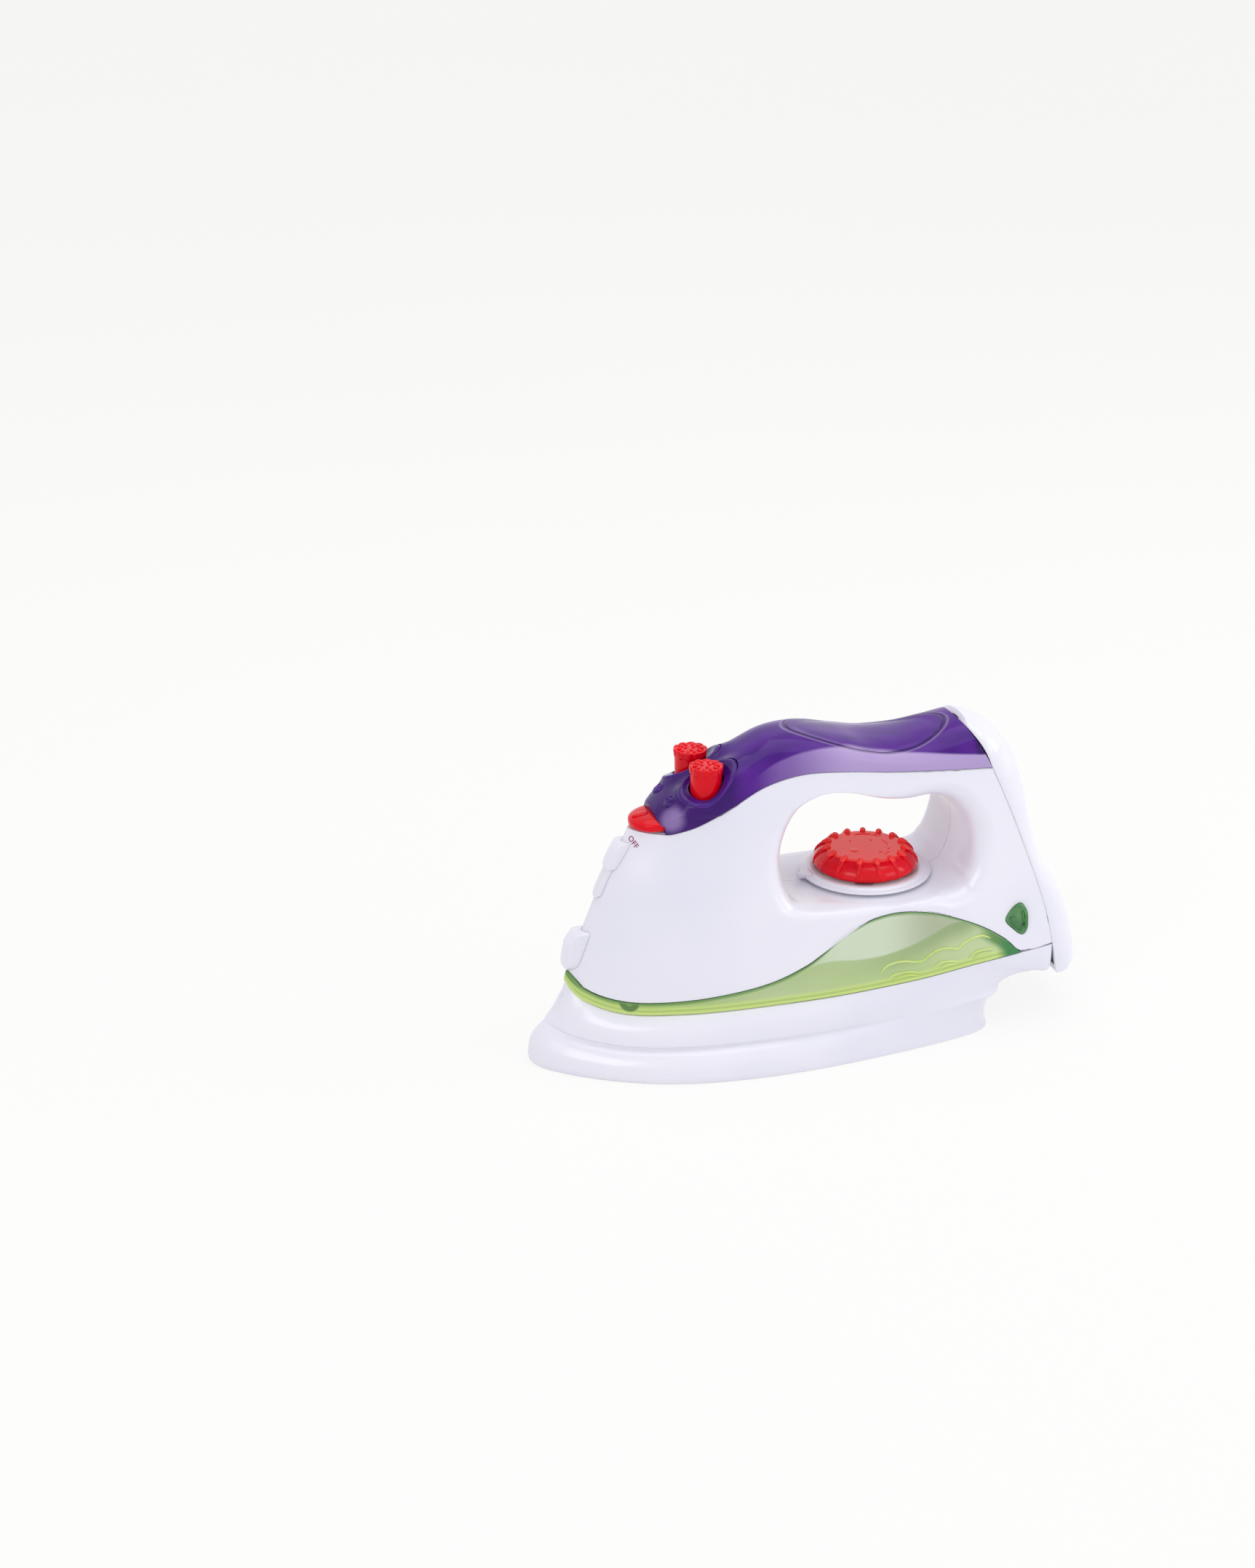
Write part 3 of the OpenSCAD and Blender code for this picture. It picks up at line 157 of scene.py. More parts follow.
@dataclass(frozen=True)
class Form:
    """The outline of the moulded body: shares along X of the length, Z of the height, Y of half the sole."""

    length: float = 201.5
    height: float = 113.0
    sole_width: float = 75.0
    wall: float = 2.0
    seam_gap: float = 0.2
    hole_round: float = 7.0
    band_proud: float = 0.3
    nose_power: float = 0.85
    sole: Table = ((-50, 0), (-49.5, 10.7), (-48, 23.5), (-44.3, 42.1), (-39.5, 60.3), (-34.4, 75.2),
                   (-29.8, 85.1), (-24.2, 93.1), (-17.9, 97.9), (-11.3, 100), (-4.5, 99.5), (2.5, 96.8),
                   (9.8, 92.3), (17.4, 86.4), (23.5, 80), (27, 74.7), (29.6, 65.3), (31.2, 48), (31.7, 24),
                   (31.8, 0))
    base_top: tuple[float, ...] = (-43.4, -43.1, -42, -39.5, -36, -32, -27.8, -22.5, -16.5, -10, -3, 4, 12,
                                   20.5, 28.5, 34.5, 41.8, 41.8, 41.8, 41.8)
    front: Table = ((15, -43.9), (26.5, -43.3), (39.8, -40.7), (48.7, -38.7), (58.4, -36.5), (69, -33.2),
                    (77.9, -31), (83.2, -29.3), (88.5, -25.3), (92.9, -20.8), (96.5, -16.4))
    width: Table = ((13, 93.3), (26.5, 89.3), (44.2, 78.7), (66.4, 63.5), (84.1, 51.2), (100, 44))
    cover_low: Table = ((-29, 73.4), (-27.1, 73.5), (-25, 74.5), (-21.8, 76.6), (-16.9, 81.1), (-10.6, 87),
                        (-4, 89.8), (2.9, 89.6), (12.6, 87.8), (23.7, 86.2), (30.6, 85.4))
    cover_top: Table = ((-28, 79.4), (-27.6, 80), (-27, 80.9), (-23.5, 85.5), (-17.4, 90.6), (-12.2, 95.4),
                        (-8.2, 98.7), (-4.2, 99.9), (0, 99.5), (5.3, 97.5), (10.1, 95.6), (16.9, 95.1),
                        (22.3, 96.4), (26.8, 97.9))
    seam: Table = ((15.5, 43.3), (26.1, 41.9), (38.9, 40.2), (58.8, 36.4), (75.2, 33), (85.5, 30.6),
                   (92, 29), (98.2, 26.8))
    rear: Table = ((15.5, 49.2), (18, 50), (27.9, 49.1), (38.5, 46.9), (47.8, 43.9), (53.5, 41.7), (63.3, 40),
                   (72.6, 39.2), (79.2, 38.5), (86.3, 37.2), (93.4, 34.3), (96.9, 31.4), (98.9, 28))
    rear_seam: tuple[float, ...] = (15.5, 18, 26.5, 36.3, 45.1, 50.4, 59.3, 67.3, 73.5, 79.6, 86.7, 92, 97)
    hole: Table = ((-3.5, 49.2), (-6.7, 53.6), (-7.7, 61.9), (-6.7, 70.8), (-3.5, 79.6), (1.3, 83.2), (6, 82.1),
                   (11.4, 78.6), (15.9, 77.4), (20.3, 77.5), (24.3, 74.8), (26.8, 68.1), (27.2, 60.5), (26, 52.6),
                   (22.6, 48.8), (9, 48.5))
    band_low: Table = ((-43.4, 25.7), (-42.7, 23.5), (-41, 21), (-35.5, 18.8), (-26.8, 19.2), (-11.7, 20.5),
                       (1.2, 21.5), (14.9, 23.4), (25.3, 25.3), (35.2, 26.1), (42, 26.2))
    band_top: Table = ((-43.4, 29.2), (-40.8, 25.2), (-35.9, 23.2), (-29.5, 23.4), (-20.7, 25), (-11.4, 28.1),
                       (-5.1, 32.3), (-2, 35.6), (1.2, 39.8), (4.6, 42.8), (7.9, 44.7), (12.1, 45.5), (17.1, 44.4),
                       (21.9, 41.8), (27.8, 37), (32.2, 31.7), (35.2, 26.8), (42, 26.8))
    nose_profile: Table = ((0, 0.05), (0.04, 0.01), (0.12, 0), (0.28, 0.05), (0.4, 0.2), (0.46, 0.3), (0.5, 0.38),
                           (0.56, 0.52), (0.66, 0.76), (0.82, 1), (0.94, 1.03), (1, 1))
    side_profile: Table = ((0, 0.05), (0.04, 0.01), (0.12, 0), (0.28, 0.1), (0.4, 0.3), (0.46, 0.5), (0.5, 0.6),
                           (0.56, 0.5), (0.66, 0.5), (0.82, 0.6), (0.94, 0.82), (1, 1))
    rear_profile: Table = ((0, 0.03), (0.04, 0.01), (0.12, 0), (0.28, 0), (0.4, -0.03), (0.46, -0.02), (0.52, 0.04),
                           (0.6, 0.14), (0.65, 0.4), (0.63, 0.75), (0.6, 1), (1, 1))

    @property
    def unit(self) -> np.ndarray:
        """Millimetres in one share along X and along Z."""
        return np.array([self.length / 100, self.height / 100])

    @property
    def half(self) -> float:
        """Millimetres in one share of half the sole's width."""
        return self.sole_width / 200

    def by_height(self, table: Table, share: float) -> np.ndarray:
        """A point on an outline at a height share."""
        return np.array([curve(table, share), share]) * self.unit

    def by_length(self, table: Table, share: float) -> np.ndarray:
        """A point on an outline at a length share."""
        return np.array([share, curve(table, share)]) * self.unit

    def half_width(self, x: float, z: float) -> float:
        """Half the body's width at a place and a height, in millimetres."""
        xs, zs = x / self.unit[0], z / self.unit[1]
        depth = max(0.0, xs - curve(self.front, zs))
        back = max(0.0, (xs - 15) / 28)
        slim = 1 - 0.3 * (1 - zs / 100) * back**2
        swell = 1 - math.exp(-((depth / self.nose_reach(zs)) ** self.nose_power))
        return curve(self.width, zs) * self.half * slim * swell

    def nose_reach(self, zs: float) -> float:
        """The length over which the nose widens at a height share."""
        return max(7.0, 13.9 - (zs - 17.7) * 0.105)

    def skin_point(self, x: float, z: float, side: Side, proud: float = 0.0) -> np.ndarray:
        """A point on the body's side, or a little off it."""
        return np.array([x, side.value * (self.half_width(x, z) + self.seam_gap / 2 + proud), z])

    def normal(self, x: float, z: float, side: Side) -> Vector:
        """The outward normal of the body's side."""
        step = 0.5
        a = Vector(self.skin_point(x + step, z, side) - self.skin_point(x - step, z, side))
        b = Vector(self.skin_point(x, z + step, side) - self.skin_point(x, z - step, side))
        n = a.cross(b).normalized()
        return n if n.y * side.value > 0 else -n

    def nose_x(self, y: float, z: float) -> float:
        """Where the nose's skin lies at a place across and a height."""
        zs = z / self.unit[1]
        share = min(0.999, abs(y) / (curve(self.width, zs) * self.half))
        back = self.nose_reach(zs) * (-math.log(1 - share)) ** (1 / self.nose_power)
        return (curve(self.front, zs) + back) * self.unit[0]


FORM = Form()


# Finishes


class Nodes:
    """The node graph of one material, round its Principled shader."""

    def __init__(self, name: str) -> None:
        """Starts a material.

        Args:
            name: The material's name.
        """
        self.material = bpy.data.materials.new(name)
        self.material.use_nodes = True
        self.tree = self.material.node_tree
        self.shader = self.tree.nodes["Principled BSDF"]
        self.place = self.add("ShaderNodeTexCoord").outputs["Object"]

    def add(self, kind: str, inputs: dict | None = None, **settings) -> bpy.types.Node:
        """Adds a node.

        Args:
            kind: The node's type.
            inputs: Values or sockets for its inputs, by name or number.
            **settings: Its properties.

        Returns:
            The node.
        """
        node = self.tree.nodes.new(kind)
        for key, value in settings.items():
            setattr(node, key, value)
        for key, value in (inputs or {}).items():
            if isinstance(value, Socket):
                self.tree.links.new(value, node.inputs[key])
            else:
                node.inputs[key].default_value = value
        return node

    def noise(self, size: float, detail: float = 3.0, stretch: Point = (1.0, 1.0, 1.0)) -> Socket:
        """A soft random pattern.

        Args:
            size: The size of its patches, in metres.
            detail: How many finer layers it has.
            stretch: How it is squeezed along each axis.

        Returns:
            The socket with values about one half.
        """
        place = self.place
        if stretch != (1.0, 1.0, 1.0):
            place = self.add("ShaderNodeMapping", {"Vector": place, "Scale": stretch}).outputs[0]
        inputs = {"Vector": place, "Scale": 1 / size, "Detail": detail}
        return self.add("ShaderNodeTexNoise", inputs).outputs["Fac"]

    def math(self, operation: str, *values) -> Socket:
        """A sum on sockets and numbers."""
        return self.add("ShaderNodeMath", dict(enumerate(values)), operation=operation).outputs[0]

    def product(self, *shares) -> Socket:
        """Several shares multiplied."""
        whole = shares[0]
        for share in shares[1:]:
            whole = self.math("MULTIPLY", whole, share)
        return whole

    def length(self, u, v) -> Socket:
        """The length of two legs."""
        return self.math("SQRT", self.math("ADD", self.math("MULTIPLY", u, u), self.math("MULTIPLY", v, v)))

    def fade(self, value, low: float, high: float, start: float = 0.0, end: float = 1.0) -> Socket:
        """Runs smoothly from start to end as the value goes from low to high."""
        inputs = {"Value": value, "From Min": low, "From Max": high, "To Min": start, "To Max": end}
        return self.add("ShaderNodeMapRange", inputs, interpolation_type="SMOOTHSTEP").outputs[0]

    def blend(self, share, first, second) -> Socket:
        """Mixes two colours by a share."""
        first, second = ((*c, 1.0) if isinstance(c, tuple) else c for c in (first, second))
        return self.add("ShaderNodeMix", {0: share, 6: first, 7: second}, data_type="RGBA").outputs[2]

    def axes(self) -> tuple[bpy.types.NodeSocket, ...]:
        """The three coordinates, in metres."""
        return tuple(self.add("ShaderNodeSeparateXYZ", {0: self.place}).outputs)

    def line(self, value, points: Table, spans: tuple[float, float, float, float]) -> Socket:
        """A drawn line: a height for each place.

        Args:
            value: The place, in metres.
            points: The line's points, in millimetres.
            spans: Lowest and highest place, lowest and highest height, in millimetres.

        Returns:
            The height, in metres.
        """
        x0, x1, z0, z1 = spans
        inputs = {"Value": value, "From Min": x0 * MM, "From Max": x1 * MM}
        share = self.add("ShaderNodeMapRange", inputs).outputs[0]
        drawn = self.add("ShaderNodeFloatCurve", {"Value": share})
        path = drawn.mapping.curves[0]
        while len(path.points) < len(points):
            path.points.new(0.5, 0.5)
        for knot, (x, z) in zip(path.points, sorted(points)):
            knot.location = ((x - x0) / (x1 - x0), (z - z0) / (z1 - z0))
        drawn.mapping.update()
        inputs = {"Value": drawn.outputs[0], "To Min": z0 * MM, "To Max": z1 * MM}
        return self.add("ShaderNodeMapRange", inputs).outputs[0]

    def bump(self, height, depth: float, before=None) -> Socket:
        """Raises the surface by a pattern.

        Args:
            height: The pattern, 0 to 1.
            depth: The height of 1, in metres.
            before: A normal to build on.

        Returns:
            The normal.
        """
        inputs = {"Height": height, "Distance": depth, "Strength": 1.0}
        if before is not None:
            inputs["Normal"] = before
        return self.add("ShaderNodeBump", inputs).outputs[0]

    def feed(self, name: str, value) -> None:
        """Sets or links an input of the shader."""
        if isinstance(value, Socket):
            self.tree.links.new(value, self.shader.inputs[name])
        else:
            self.shader.inputs[name].default_value = value


@dataclass(frozen=True)
class Moulded:
    """A moulded finish: its tone drifts a little and its skin has a fine grain."""

    name: str
    tone: Colour
    deep: Colour
    roughness: float = 0.3
    drift: float = 0.03
    grain: float = 0.0006
    depth: float = 0.000006
    coat: float = 0.0
    clear: float = 0.0
    metal: float = 0.0
    ior: float = 1.5
    soft: float = 0.0

    def colour(self, n: Nodes) -> Socket:
        """The finish's colour."""
        return n.blend(n.fade(n.noise(self.drift, 2.0), 0.3, 0.7), self.tone, self.deep)

    def relief(self, n: Nodes) -> Socket:
        """The finish's surface."""
        return n.bump(n.noise(self.grain, 4.0), self.depth)

    def build(self) -> bpy.types.Material:
        """Makes the material."""
        n = Nodes(self.name)
        n.feed("Base Color", self.colour(n))
        n.feed("Normal", self.relief(n))
        rough = n.noise(self.drift / 6, 3.0)
        n.feed("Roughness", n.fade(rough, 0.25, 0.75, self.roughness * 0.85, min(1.0, self.roughness * 1.2)))
        n.feed("Metallic", self.metal)
        n.feed("IOR", self.ior)
        n.feed("Transmission Weight", self.clear)
        n.feed("Coat Weight", self.coat)
        n.feed("Coat Roughness", 0.04)
        if self.soft:
            n.feed("Subsurface Weight", self.soft)
            n.feed("Subsurface Radius", (0.002, 0.002, 0.0025))
            n.feed("Subsurface Scale", 1.0)
        n.material.diffuse_color = (*self.tone, 1.0)
        return n.material


@dataclass(frozen=True)
class Drawn(Moulded):
    """Wire, sheet metal or a can: fine lines run along one axis."""

    lines: Point = (0.05, 1.0, 1.0)

    def relief(self, n: Nodes) -> Socket:
        """Fine drawn lines."""
        return n.bump(n.noise(self.grain, 3.0, self.lines), self.depth)


@dataclass(frozen=True)
class TintedCover(Moulded):
    """Deep tinted plastic of the handle: a paler strip along its low edge, painted shade and a painted highlight
    round the thumb's recess, and a painted pale glow by the switch.
    """

    strip: Colour = (0.3, 0.2, 0.5)
    dark: Colour = (0.03, 0.01, 0.1)
    strip_line: Table = ((-60, 90), (-33, 93), (-27.1, 99.8), (-20.3, 104.4), (-13.6, 107.4), (-5.6, 109.2),
                         (4, 109.5), (21.7, 106.1), (41.3, 103.7), (58.9, 101.8), (70, 101))
    fold: Colour = (0.20, 0.10, 0.37)
    # The tone and the centre of a painted pale glow on the near side by the switch.
    painted_glow: Colour = (0.40, 0.28, 0.56)
    recess: tuple[float, float, float, float] = (21.2, 29.2, 0.0, 15.2)
    glow_centre: Point = (-52.6, -11.3, 89.2)

    def ring(self, n: Nodes) -> Socket:
        """How far out a point is from the recess's middle, 1 on its line."""
        x, y, _ = n.axes()
        cx, a, cy, b = (v * MM for v in self.recess)
        u = n.math("DIVIDE", n.math("SUBTRACT", x, cx), a)
        v = n.math("DIVIDE", n.math("SUBTRACT", y, cy), b)
        return n.length(u, v)

    def high(self, n: Nodes) -> Socket:
        """Whether a point is on top of the handle."""
        return n.fade(n.axes()[2], 0.101, 0.103)

    def colour(self, n: Nodes) -> Socket:
        """The tint with its strip, its dark ends, painted shade along the recess's groove with a painted highlight
        beside it, and a painted pale glow by the switch.
        """
        x, y, z = n.axes()
        edge = n.line(x, self.strip_line, (-60, 70, 88, 114))
        below = n.fade(n.math("SUBTRACT", edge, z), -0.0003, 0.0006)
        base = n.blend(n.fade(n.noise(0.008, 3.0, (0.4, 1.0, 1.0)), 0.3, 0.7), self.tone, self.deep)
        pale = n.blend(n.fade(x, -0.018, 0.012), self.fold, self.strip)
        base = n.blend(n.product(below, n.fade(x, -0.026, -0.014)), base, pale)
        ring, high = self.ring(n), self.high(n)
        # Painted shade: a dark line along the recess's groove on top of the handle.
        line = n.product(n.fade(ring, 0.955, 0.975), n.fade(ring, 1.02, 1.0), high, 0.6)
        base = n.blend(line, base, self.dark)
        # Painted highlight: a pale line just outside the recess's groove.
        glint = n.product(n.fade(ring, 1.015, 1.03), n.fade(ring, 1.07, 1.045), high, 0.35)
        base = n.blend(glint, base, self.strip)
        heel = n.product(n.fade(x, 0.0545, 0.0575, 0.0, 0.75), n.math("SUBTRACT", 1.0, below))
        base = n.blend(heel, base, self.dark)
        base = n.blend(n.fade(x, -0.026, -0.034, 0.0, 0.6), base, self.dark)
        # Painted glow: a pale lilac patch on the near side by the switch.
        glow_place = {0: n.place, 1: tuple(v * MM for v in self.glow_centre)}
        away = n.add("ShaderNodeVectorMath", glow_place, operation="DISTANCE").outputs["Value"]
        side = n.fade(n.math("ABSOLUTE", y), 0.004, 0.012)
        return n.blend(n.product(n.fade(away, 0.0062, 0.0022), side, 0.62), base, self.painted_glow)

    def relief(self, n: Nodes) -> Socket:
        """Fine grain, with a groove where the recess starts."""
        ring = self.ring(n)
        groove = n.product(n.fade(ring, 0.965, 0.99), n.fade(ring, 1.04, 1.01), self.high(n))
        return n.bump(n.noise(self.grain, 4.0), self.depth, n.bump(groove, -0.0007))


@dataclass(frozen=True)
class TintedBand(Moulded):
    """Clear lime plastic of the tank: a pale window above, a bright low edge and a deep green tip."""

    window: Colour = (0.6, 0.7, 0.5)
    bright: Colour = (0.5, 0.8, 0.05)
    rim: Colour = (0.1, 0.3, 0.08)
    tip: Colour = (0.02, 0.25, 0.06)
    pane: Colour = (0.46, 0.52, 0.34)
    # The tone of painted shade below the window line.
    shade: Colour = (0.26, 0.36, 0.16)
    nose: Colour = (0.36, 0.56, 0.11)
    edge: Colour = (0.3, 0.46, 0.1)
    boss_tone: Colour = (0.045, 0.16, 0.03)
    boss: tuple[float, float] = (-69.6, 25.6)
    spans: tuple[float, float, float, float] = (-90, 86, 20, 56)
    window_line: Table = ((-90, 20), (-40, 30), (-14, 34), (-2.5, 36.9), (8.9, 36.5), (15.0, 36.6), (21.8, 37.6),
                          (29.4, 39.5), (36.5, 42.1), (42.9, 44.5), (47.9, 45.4), (60, 52), (75, 56))

    def colour(self, n: Nodes) -> Socket:
        """The tint with its window, painted shade below the window, edges and tip."""
        x, _, z = n.axes()
        low, top = (n.line(x, tuple((a * FORM.unit[0], b * FORM.unit[1]) for a, b in table), self.spans)
                    for table in (FORM.band_low, FORM.band_top))
        over = n.math("SUBTRACT", z, n.line(x, self.window_line, self.spans))
        up = n.math("SUBTRACT", z, low)
        down = n.math("SUBTRACT", top, z)
        base = n.blend(n.fade(n.noise(0.02, 2.0, (0.3, 1.0, 1.0)), 0.3, 0.7), self.tone, self.deep)
        # Painted shade: darker green just below the window line, deeper towards the heel.
        base = n.blend(n.product(n.fade(over, -0.009, -0.0008), n.fade(x, 0.0, 0.05, 0.2, 0.8)), base, self.shade)
        pane = n.blend(n.fade(x, 0.016, 0.038), self.window, self.pane)
        base = n.blend(n.product(n.fade(over, -0.0002, 0.0007), n.fade(x, -0.018, 0.004)), base, pane)
        base = n.blend(n.fade(x, -0.02, -0.075, 0.0, 0.9), base, self.nose)
        base = n.blend(n.fade(up, 0.0042, 0.0020), base, self.bright)
        line = n.product(n.fade(up, 0.0012, 0.0019), n.fade(up, 0.0027, 0.0020), 0.5)
        base = n.blend(line, base, self.edge)
        away = n.length(*(n.math("SUBTRACT", v, c * MM) for v, c in zip((x, z), self.boss)))
        ring = n.product(n.fade(away, 0.0034, 0.0026, 0.0, 0.85), n.fade(away, 0.0005, 0.0013, 0.3, 1.0))
        base = n.blend(ring, base, self.boss_tone)
        base = n.blend(n.fade(down, 0.0015, 0.0005, 0.0, 0.85), base, self.rim)
        base = n.blend(n.product(n.fade(x, 0.052, 0.060), n.fade(down, 0.0062, 0.003)), base, self.rim)
        return n.blend(n.fade(x, 0.060, 0.066), base, self.tip)


@dataclass(frozen=True)
class DialRed(Moulded):
    """Glossy red with a paler top face: painted light from the lamps above."""

    # The top face's red: painted light, paler where the lamps above fall.
    top: Colour = (0.78, 0.07, 0.06)
    level: float = 64.4

    def colour(self, n: Nodes) -> Socket:
        """Red that turns paler on the top face, as painted light from above."""
        high = n.fade(n.axes()[2], (self.level - 0.15) * MM, (self.level + 0.1) * MM)
        return n.blend(high, super().colour(n), self.top)


class Palette:
    """The object's finishes, one for each slot of the record and a few for the scene's own pieces."""

    def __init__(self) -> None:
        """Makes every material once."""
        finishes = (
            Moulded("shell_white", srgb(238, 237, 244), srgb(232, 231, 241), 0.22, 0.05, 0.0008, 0.000004,
                    coat=0.25, soft=0.12),
            TintedCover("cover_purple", srgb(88, 34, 142), srgb(68, 20, 122), 0.14, 0.02, 0.0009, 0.000003,
                        coat=0.06, clear=0.03, ior=1.24, strip=srgb(182, 160, 208), dark=srgb(40, 8, 78)),
            Moulded("collar_purple", srgb(76, 28, 130), srgb(54, 14, 104), 0.1, 0.01, 0.0009, 0.000003,
                    coat=0.1, clear=0.03, ior=1.28),
            TintedBand("band_lime", srgb(200, 218, 164), srgb(188, 210, 146), 0.12, 0.03, 0.001, 0.000005,
                       coat=0.25, clear=0.1, ior=1.42, window=srgb(214, 228, 198), bright=srgb(210, 232, 134),
                       rim=srgb(98, 146, 78), tip=srgb(52, 134, 70)),
            Moulded("ridge_lime", srgb(216, 236, 140), srgb(200, 224, 112), 0.12, 0.01, 0.001, 0.000004,
                    coat=0.3, clear=0.1, ior=1.42),
            Moulded("lens_green", srgb(92, 150, 88), srgb(58, 124, 64), 0.1, 0.006, 0.0008, 0.000006,
                    coat=0.4, clear=0.1, ior=1.42),
            Moulded("control_red", srgb(232, 0, 26), srgb(218, 0, 22), 0.12, 0.012, 0.0007, 0.000002,
                    coat=0.1, ior=1.24),
            # dial_red's paler top is painted light from above.
            DialRed("dial_red", srgb(234, 2, 28), srgb(216, 0, 24), 0.1, 0.012, 0.0007, 0.000003,
                    coat=0.16, ior=1.26, top=srgb(250, 60, 56)),
            Moulded("legend_red", srgb(150, 24, 92), srgb(128, 16, 80), 0.5, 0.004, 0.0003, 0.000003),
            Moulded("sole_grey", srgb(96, 98, 106), srgb(84, 86, 94), 0.42, 0.03, 0.0005, 0.00002),
            Moulded("inner_white", srgb(232, 232, 228), srgb(222, 222, 220), 0.5, 0.03, 0.0006, 0.00002),
            Moulded("panel_pale", srgb(232, 236, 226), srgb(222, 228, 214), 0.3, 0.02, 0.0006, 0.00001),
            Moulded("boss_green", srgb(52, 120, 50), srgb(36, 92, 38), 0.35, 0.01, 0.0006, 0.00001),
            Moulded("board_green", srgb(24, 98, 54), srgb(16, 82, 44), 0.35, 0.006, 0.0012, 0.00003),
            Moulded("part_black", srgb(34, 34, 38), srgb(24, 24, 28), 0.45, 0.01, 0.0005, 0.00002),
            Drawn("steel_zinc", srgb(202, 203, 206), srgb(182, 184, 190), 0.28, 0.006, 0.0004, 0.00001,
                  metal=1.0, ior=2.5),
            Drawn("cell_metal", srgb(196, 164, 92), srgb(180, 148, 74), 0.3, 0.01, 0.0005, 0.00001,
                  metal=0.9, ior=2.0),
            Drawn("contact_brass", srgb(220, 190, 120), srgb(204, 170, 98), 0.25, 0.006, 0.0004, 0.00001,
                  metal=1.0, ior=2.0),
            Moulded("shaft_ivory", srgb(238, 234, 216), srgb(230, 224, 204), 0.45, 0.01, 0.0006, 0.00001),
            Moulded("lamp_clear", srgb(238, 242, 244), srgb(228, 236, 240), 0.12, 0.006, 0.0006, 0.00001,
                    clear=0.6),
            Moulded("sensor_red", srgb(112, 10, 22), srgb(92, 6, 18), 0.12, 0.006, 0.0006, 0.00001, clear=0.3),
        )
        self.materials = {f.name: f.build() for f in finishes}

    def __getitem__(self, name: str) -> bpy.types.Material:
        """The material of a finish."""
        return self.materials[name]

    def dress_nodes(self) -> None:
        """Gives every node of the model the finish of its slot."""
        for part in frame["record"]["subparts"]:
            node = frame["nodes"][part["node"]]
            for place in node.material_slots:
                place.material = self[part["material_slot"]]


# Making meshes


def bare() -> None:
    """Leaves edit mode and deselects everything."""
    if bpy.context.object and bpy.context.object.mode != "OBJECT":
        bpy.ops.object.mode_set(mode="OBJECT")
    bpy.ops.object.select_all(action="DESELECT")


def pick(piece: Piece) -> Piece:
    """Selects one object alone and makes it active."""
    bare()
    piece.select_set(True)
    bpy.context.view_layer.objects.active = piece
    return piece


def outward(piece: Piece) -> Piece:
    """Turns a closed mesh's faces outwards."""
    mesh = piece.data
    volume = 0.0
    mesh.calc_loop_triangles()
    for t in mesh.loop_triangles:
        a, b, c = (mesh.vertices[i].co for i in t.vertices)
        volume += a.dot(b.cross(c))
    if volume < 0:
        mesh.flip_normals()
    return piece


def built(name: str, points: Sequence, faces: Sequence) -> Piece:
    """Makes an object from points and faces.

    Args:
        name: The piece's name.
        points: The points, in millimetres.
        faces: The faces, as lists of point numbers.

    Returns:
        The object, its faces outwards.
    """
    mesh = bpy.data.meshes.new(name)
    mesh.from_pydata([tuple(float(v) * MM for v in p) for p in points], [], [tuple(f) for f in faces])
    mesh.validate()
    piece = bpy.data.objects.new(name, mesh)
    bpy.context.collection.objects.link(piece)
    return outward(piece)


def knit(name: str, rows: Sequence[Sequence], ring: bool) -> Piece:
    """Makes a walled skin: rows over the outside, then rows back along the inside.

    Args:
        name: The piece's name.
        rows: The rows of points, all of one length.
        ring: Whether each row joins up with its start.

    Returns:
        The object.
    """
    n, m = len(rows[0]), len(rows)
    faces = []
    for r in range(m):
        up = (r + 1) % m
        for i in range(n if ring else n - 1):
            j = (i + 1) % n
            faces.append((r * n + i, r * n + j, up * n + j, up * n + i))
    if not ring:
        for r in range(m // 2):
            if r + 1 <= m - 2 - r:
                quad = [r * n, (r + 1) * n, (m - 2 - r) * n, (m - 1 - r) * n]
                quad = quad if quad[1] != quad[2] else [quad[0], quad[1], quad[3]]
                faces.append(quad)
                faces.append([q + n - 1 for q in reversed(quad)])
    return built(name, [p for row in rows for p in row], faces)


def stack(name: str, rings: Sequence[Sequence]) -> Piece:
    """Makes a solid from closed rings of points, capped at both ends."""
    n = len(rings[0])
    faces = [(r * n + i, r * n + (i + 1) % n, (r + 1) * n + (i + 1) % n, (r + 1) * n + i)
             for r in range(len(rings) - 1) for i in range(n)]
    faces += [tuple(reversed(range(n))), tuple(range((len(rings) - 1) * n, len(rings) * n))]
    return built(name, [p for ring in rings for p in ring], faces)


def bead(name: str, path: Sequence, radii: Sequence[float], sides: int = 10, flat: float = 1.0,
         up: Sequence[float] = (0, 0, 1)) -> Piece:
    """Makes a round rib along a path.

    Args:
        name: The piece's name.
        path: Its points, in millimetres.
        radii: Its radius at each point.
        sides: How many sides it has.
        flat: How thick it is across the up direction.
        up: The direction it is measured from.

    Returns:
        The object.
    """
    rings = []
    for i, p in enumerate(path):
        a, b = np.array(path[max(0, i - 1)], float), np.array(path[min(len(path) - 1, i + 1)], float)
        way = (b - a) / np.linalg.norm(b - a)
        side = np.cross(way, np.array(up, float))
        side /= np.linalg.norm(side)
        high = np.cross(side, way)
        turns = [2 * math.pi * j / sides for j in range(sides)]
        rings.append([np.array(p, float) + radii[i] * (math.cos(t) * side + flat * math.sin(t) * high)
                      for t in turns])
    return stack(name, rings)


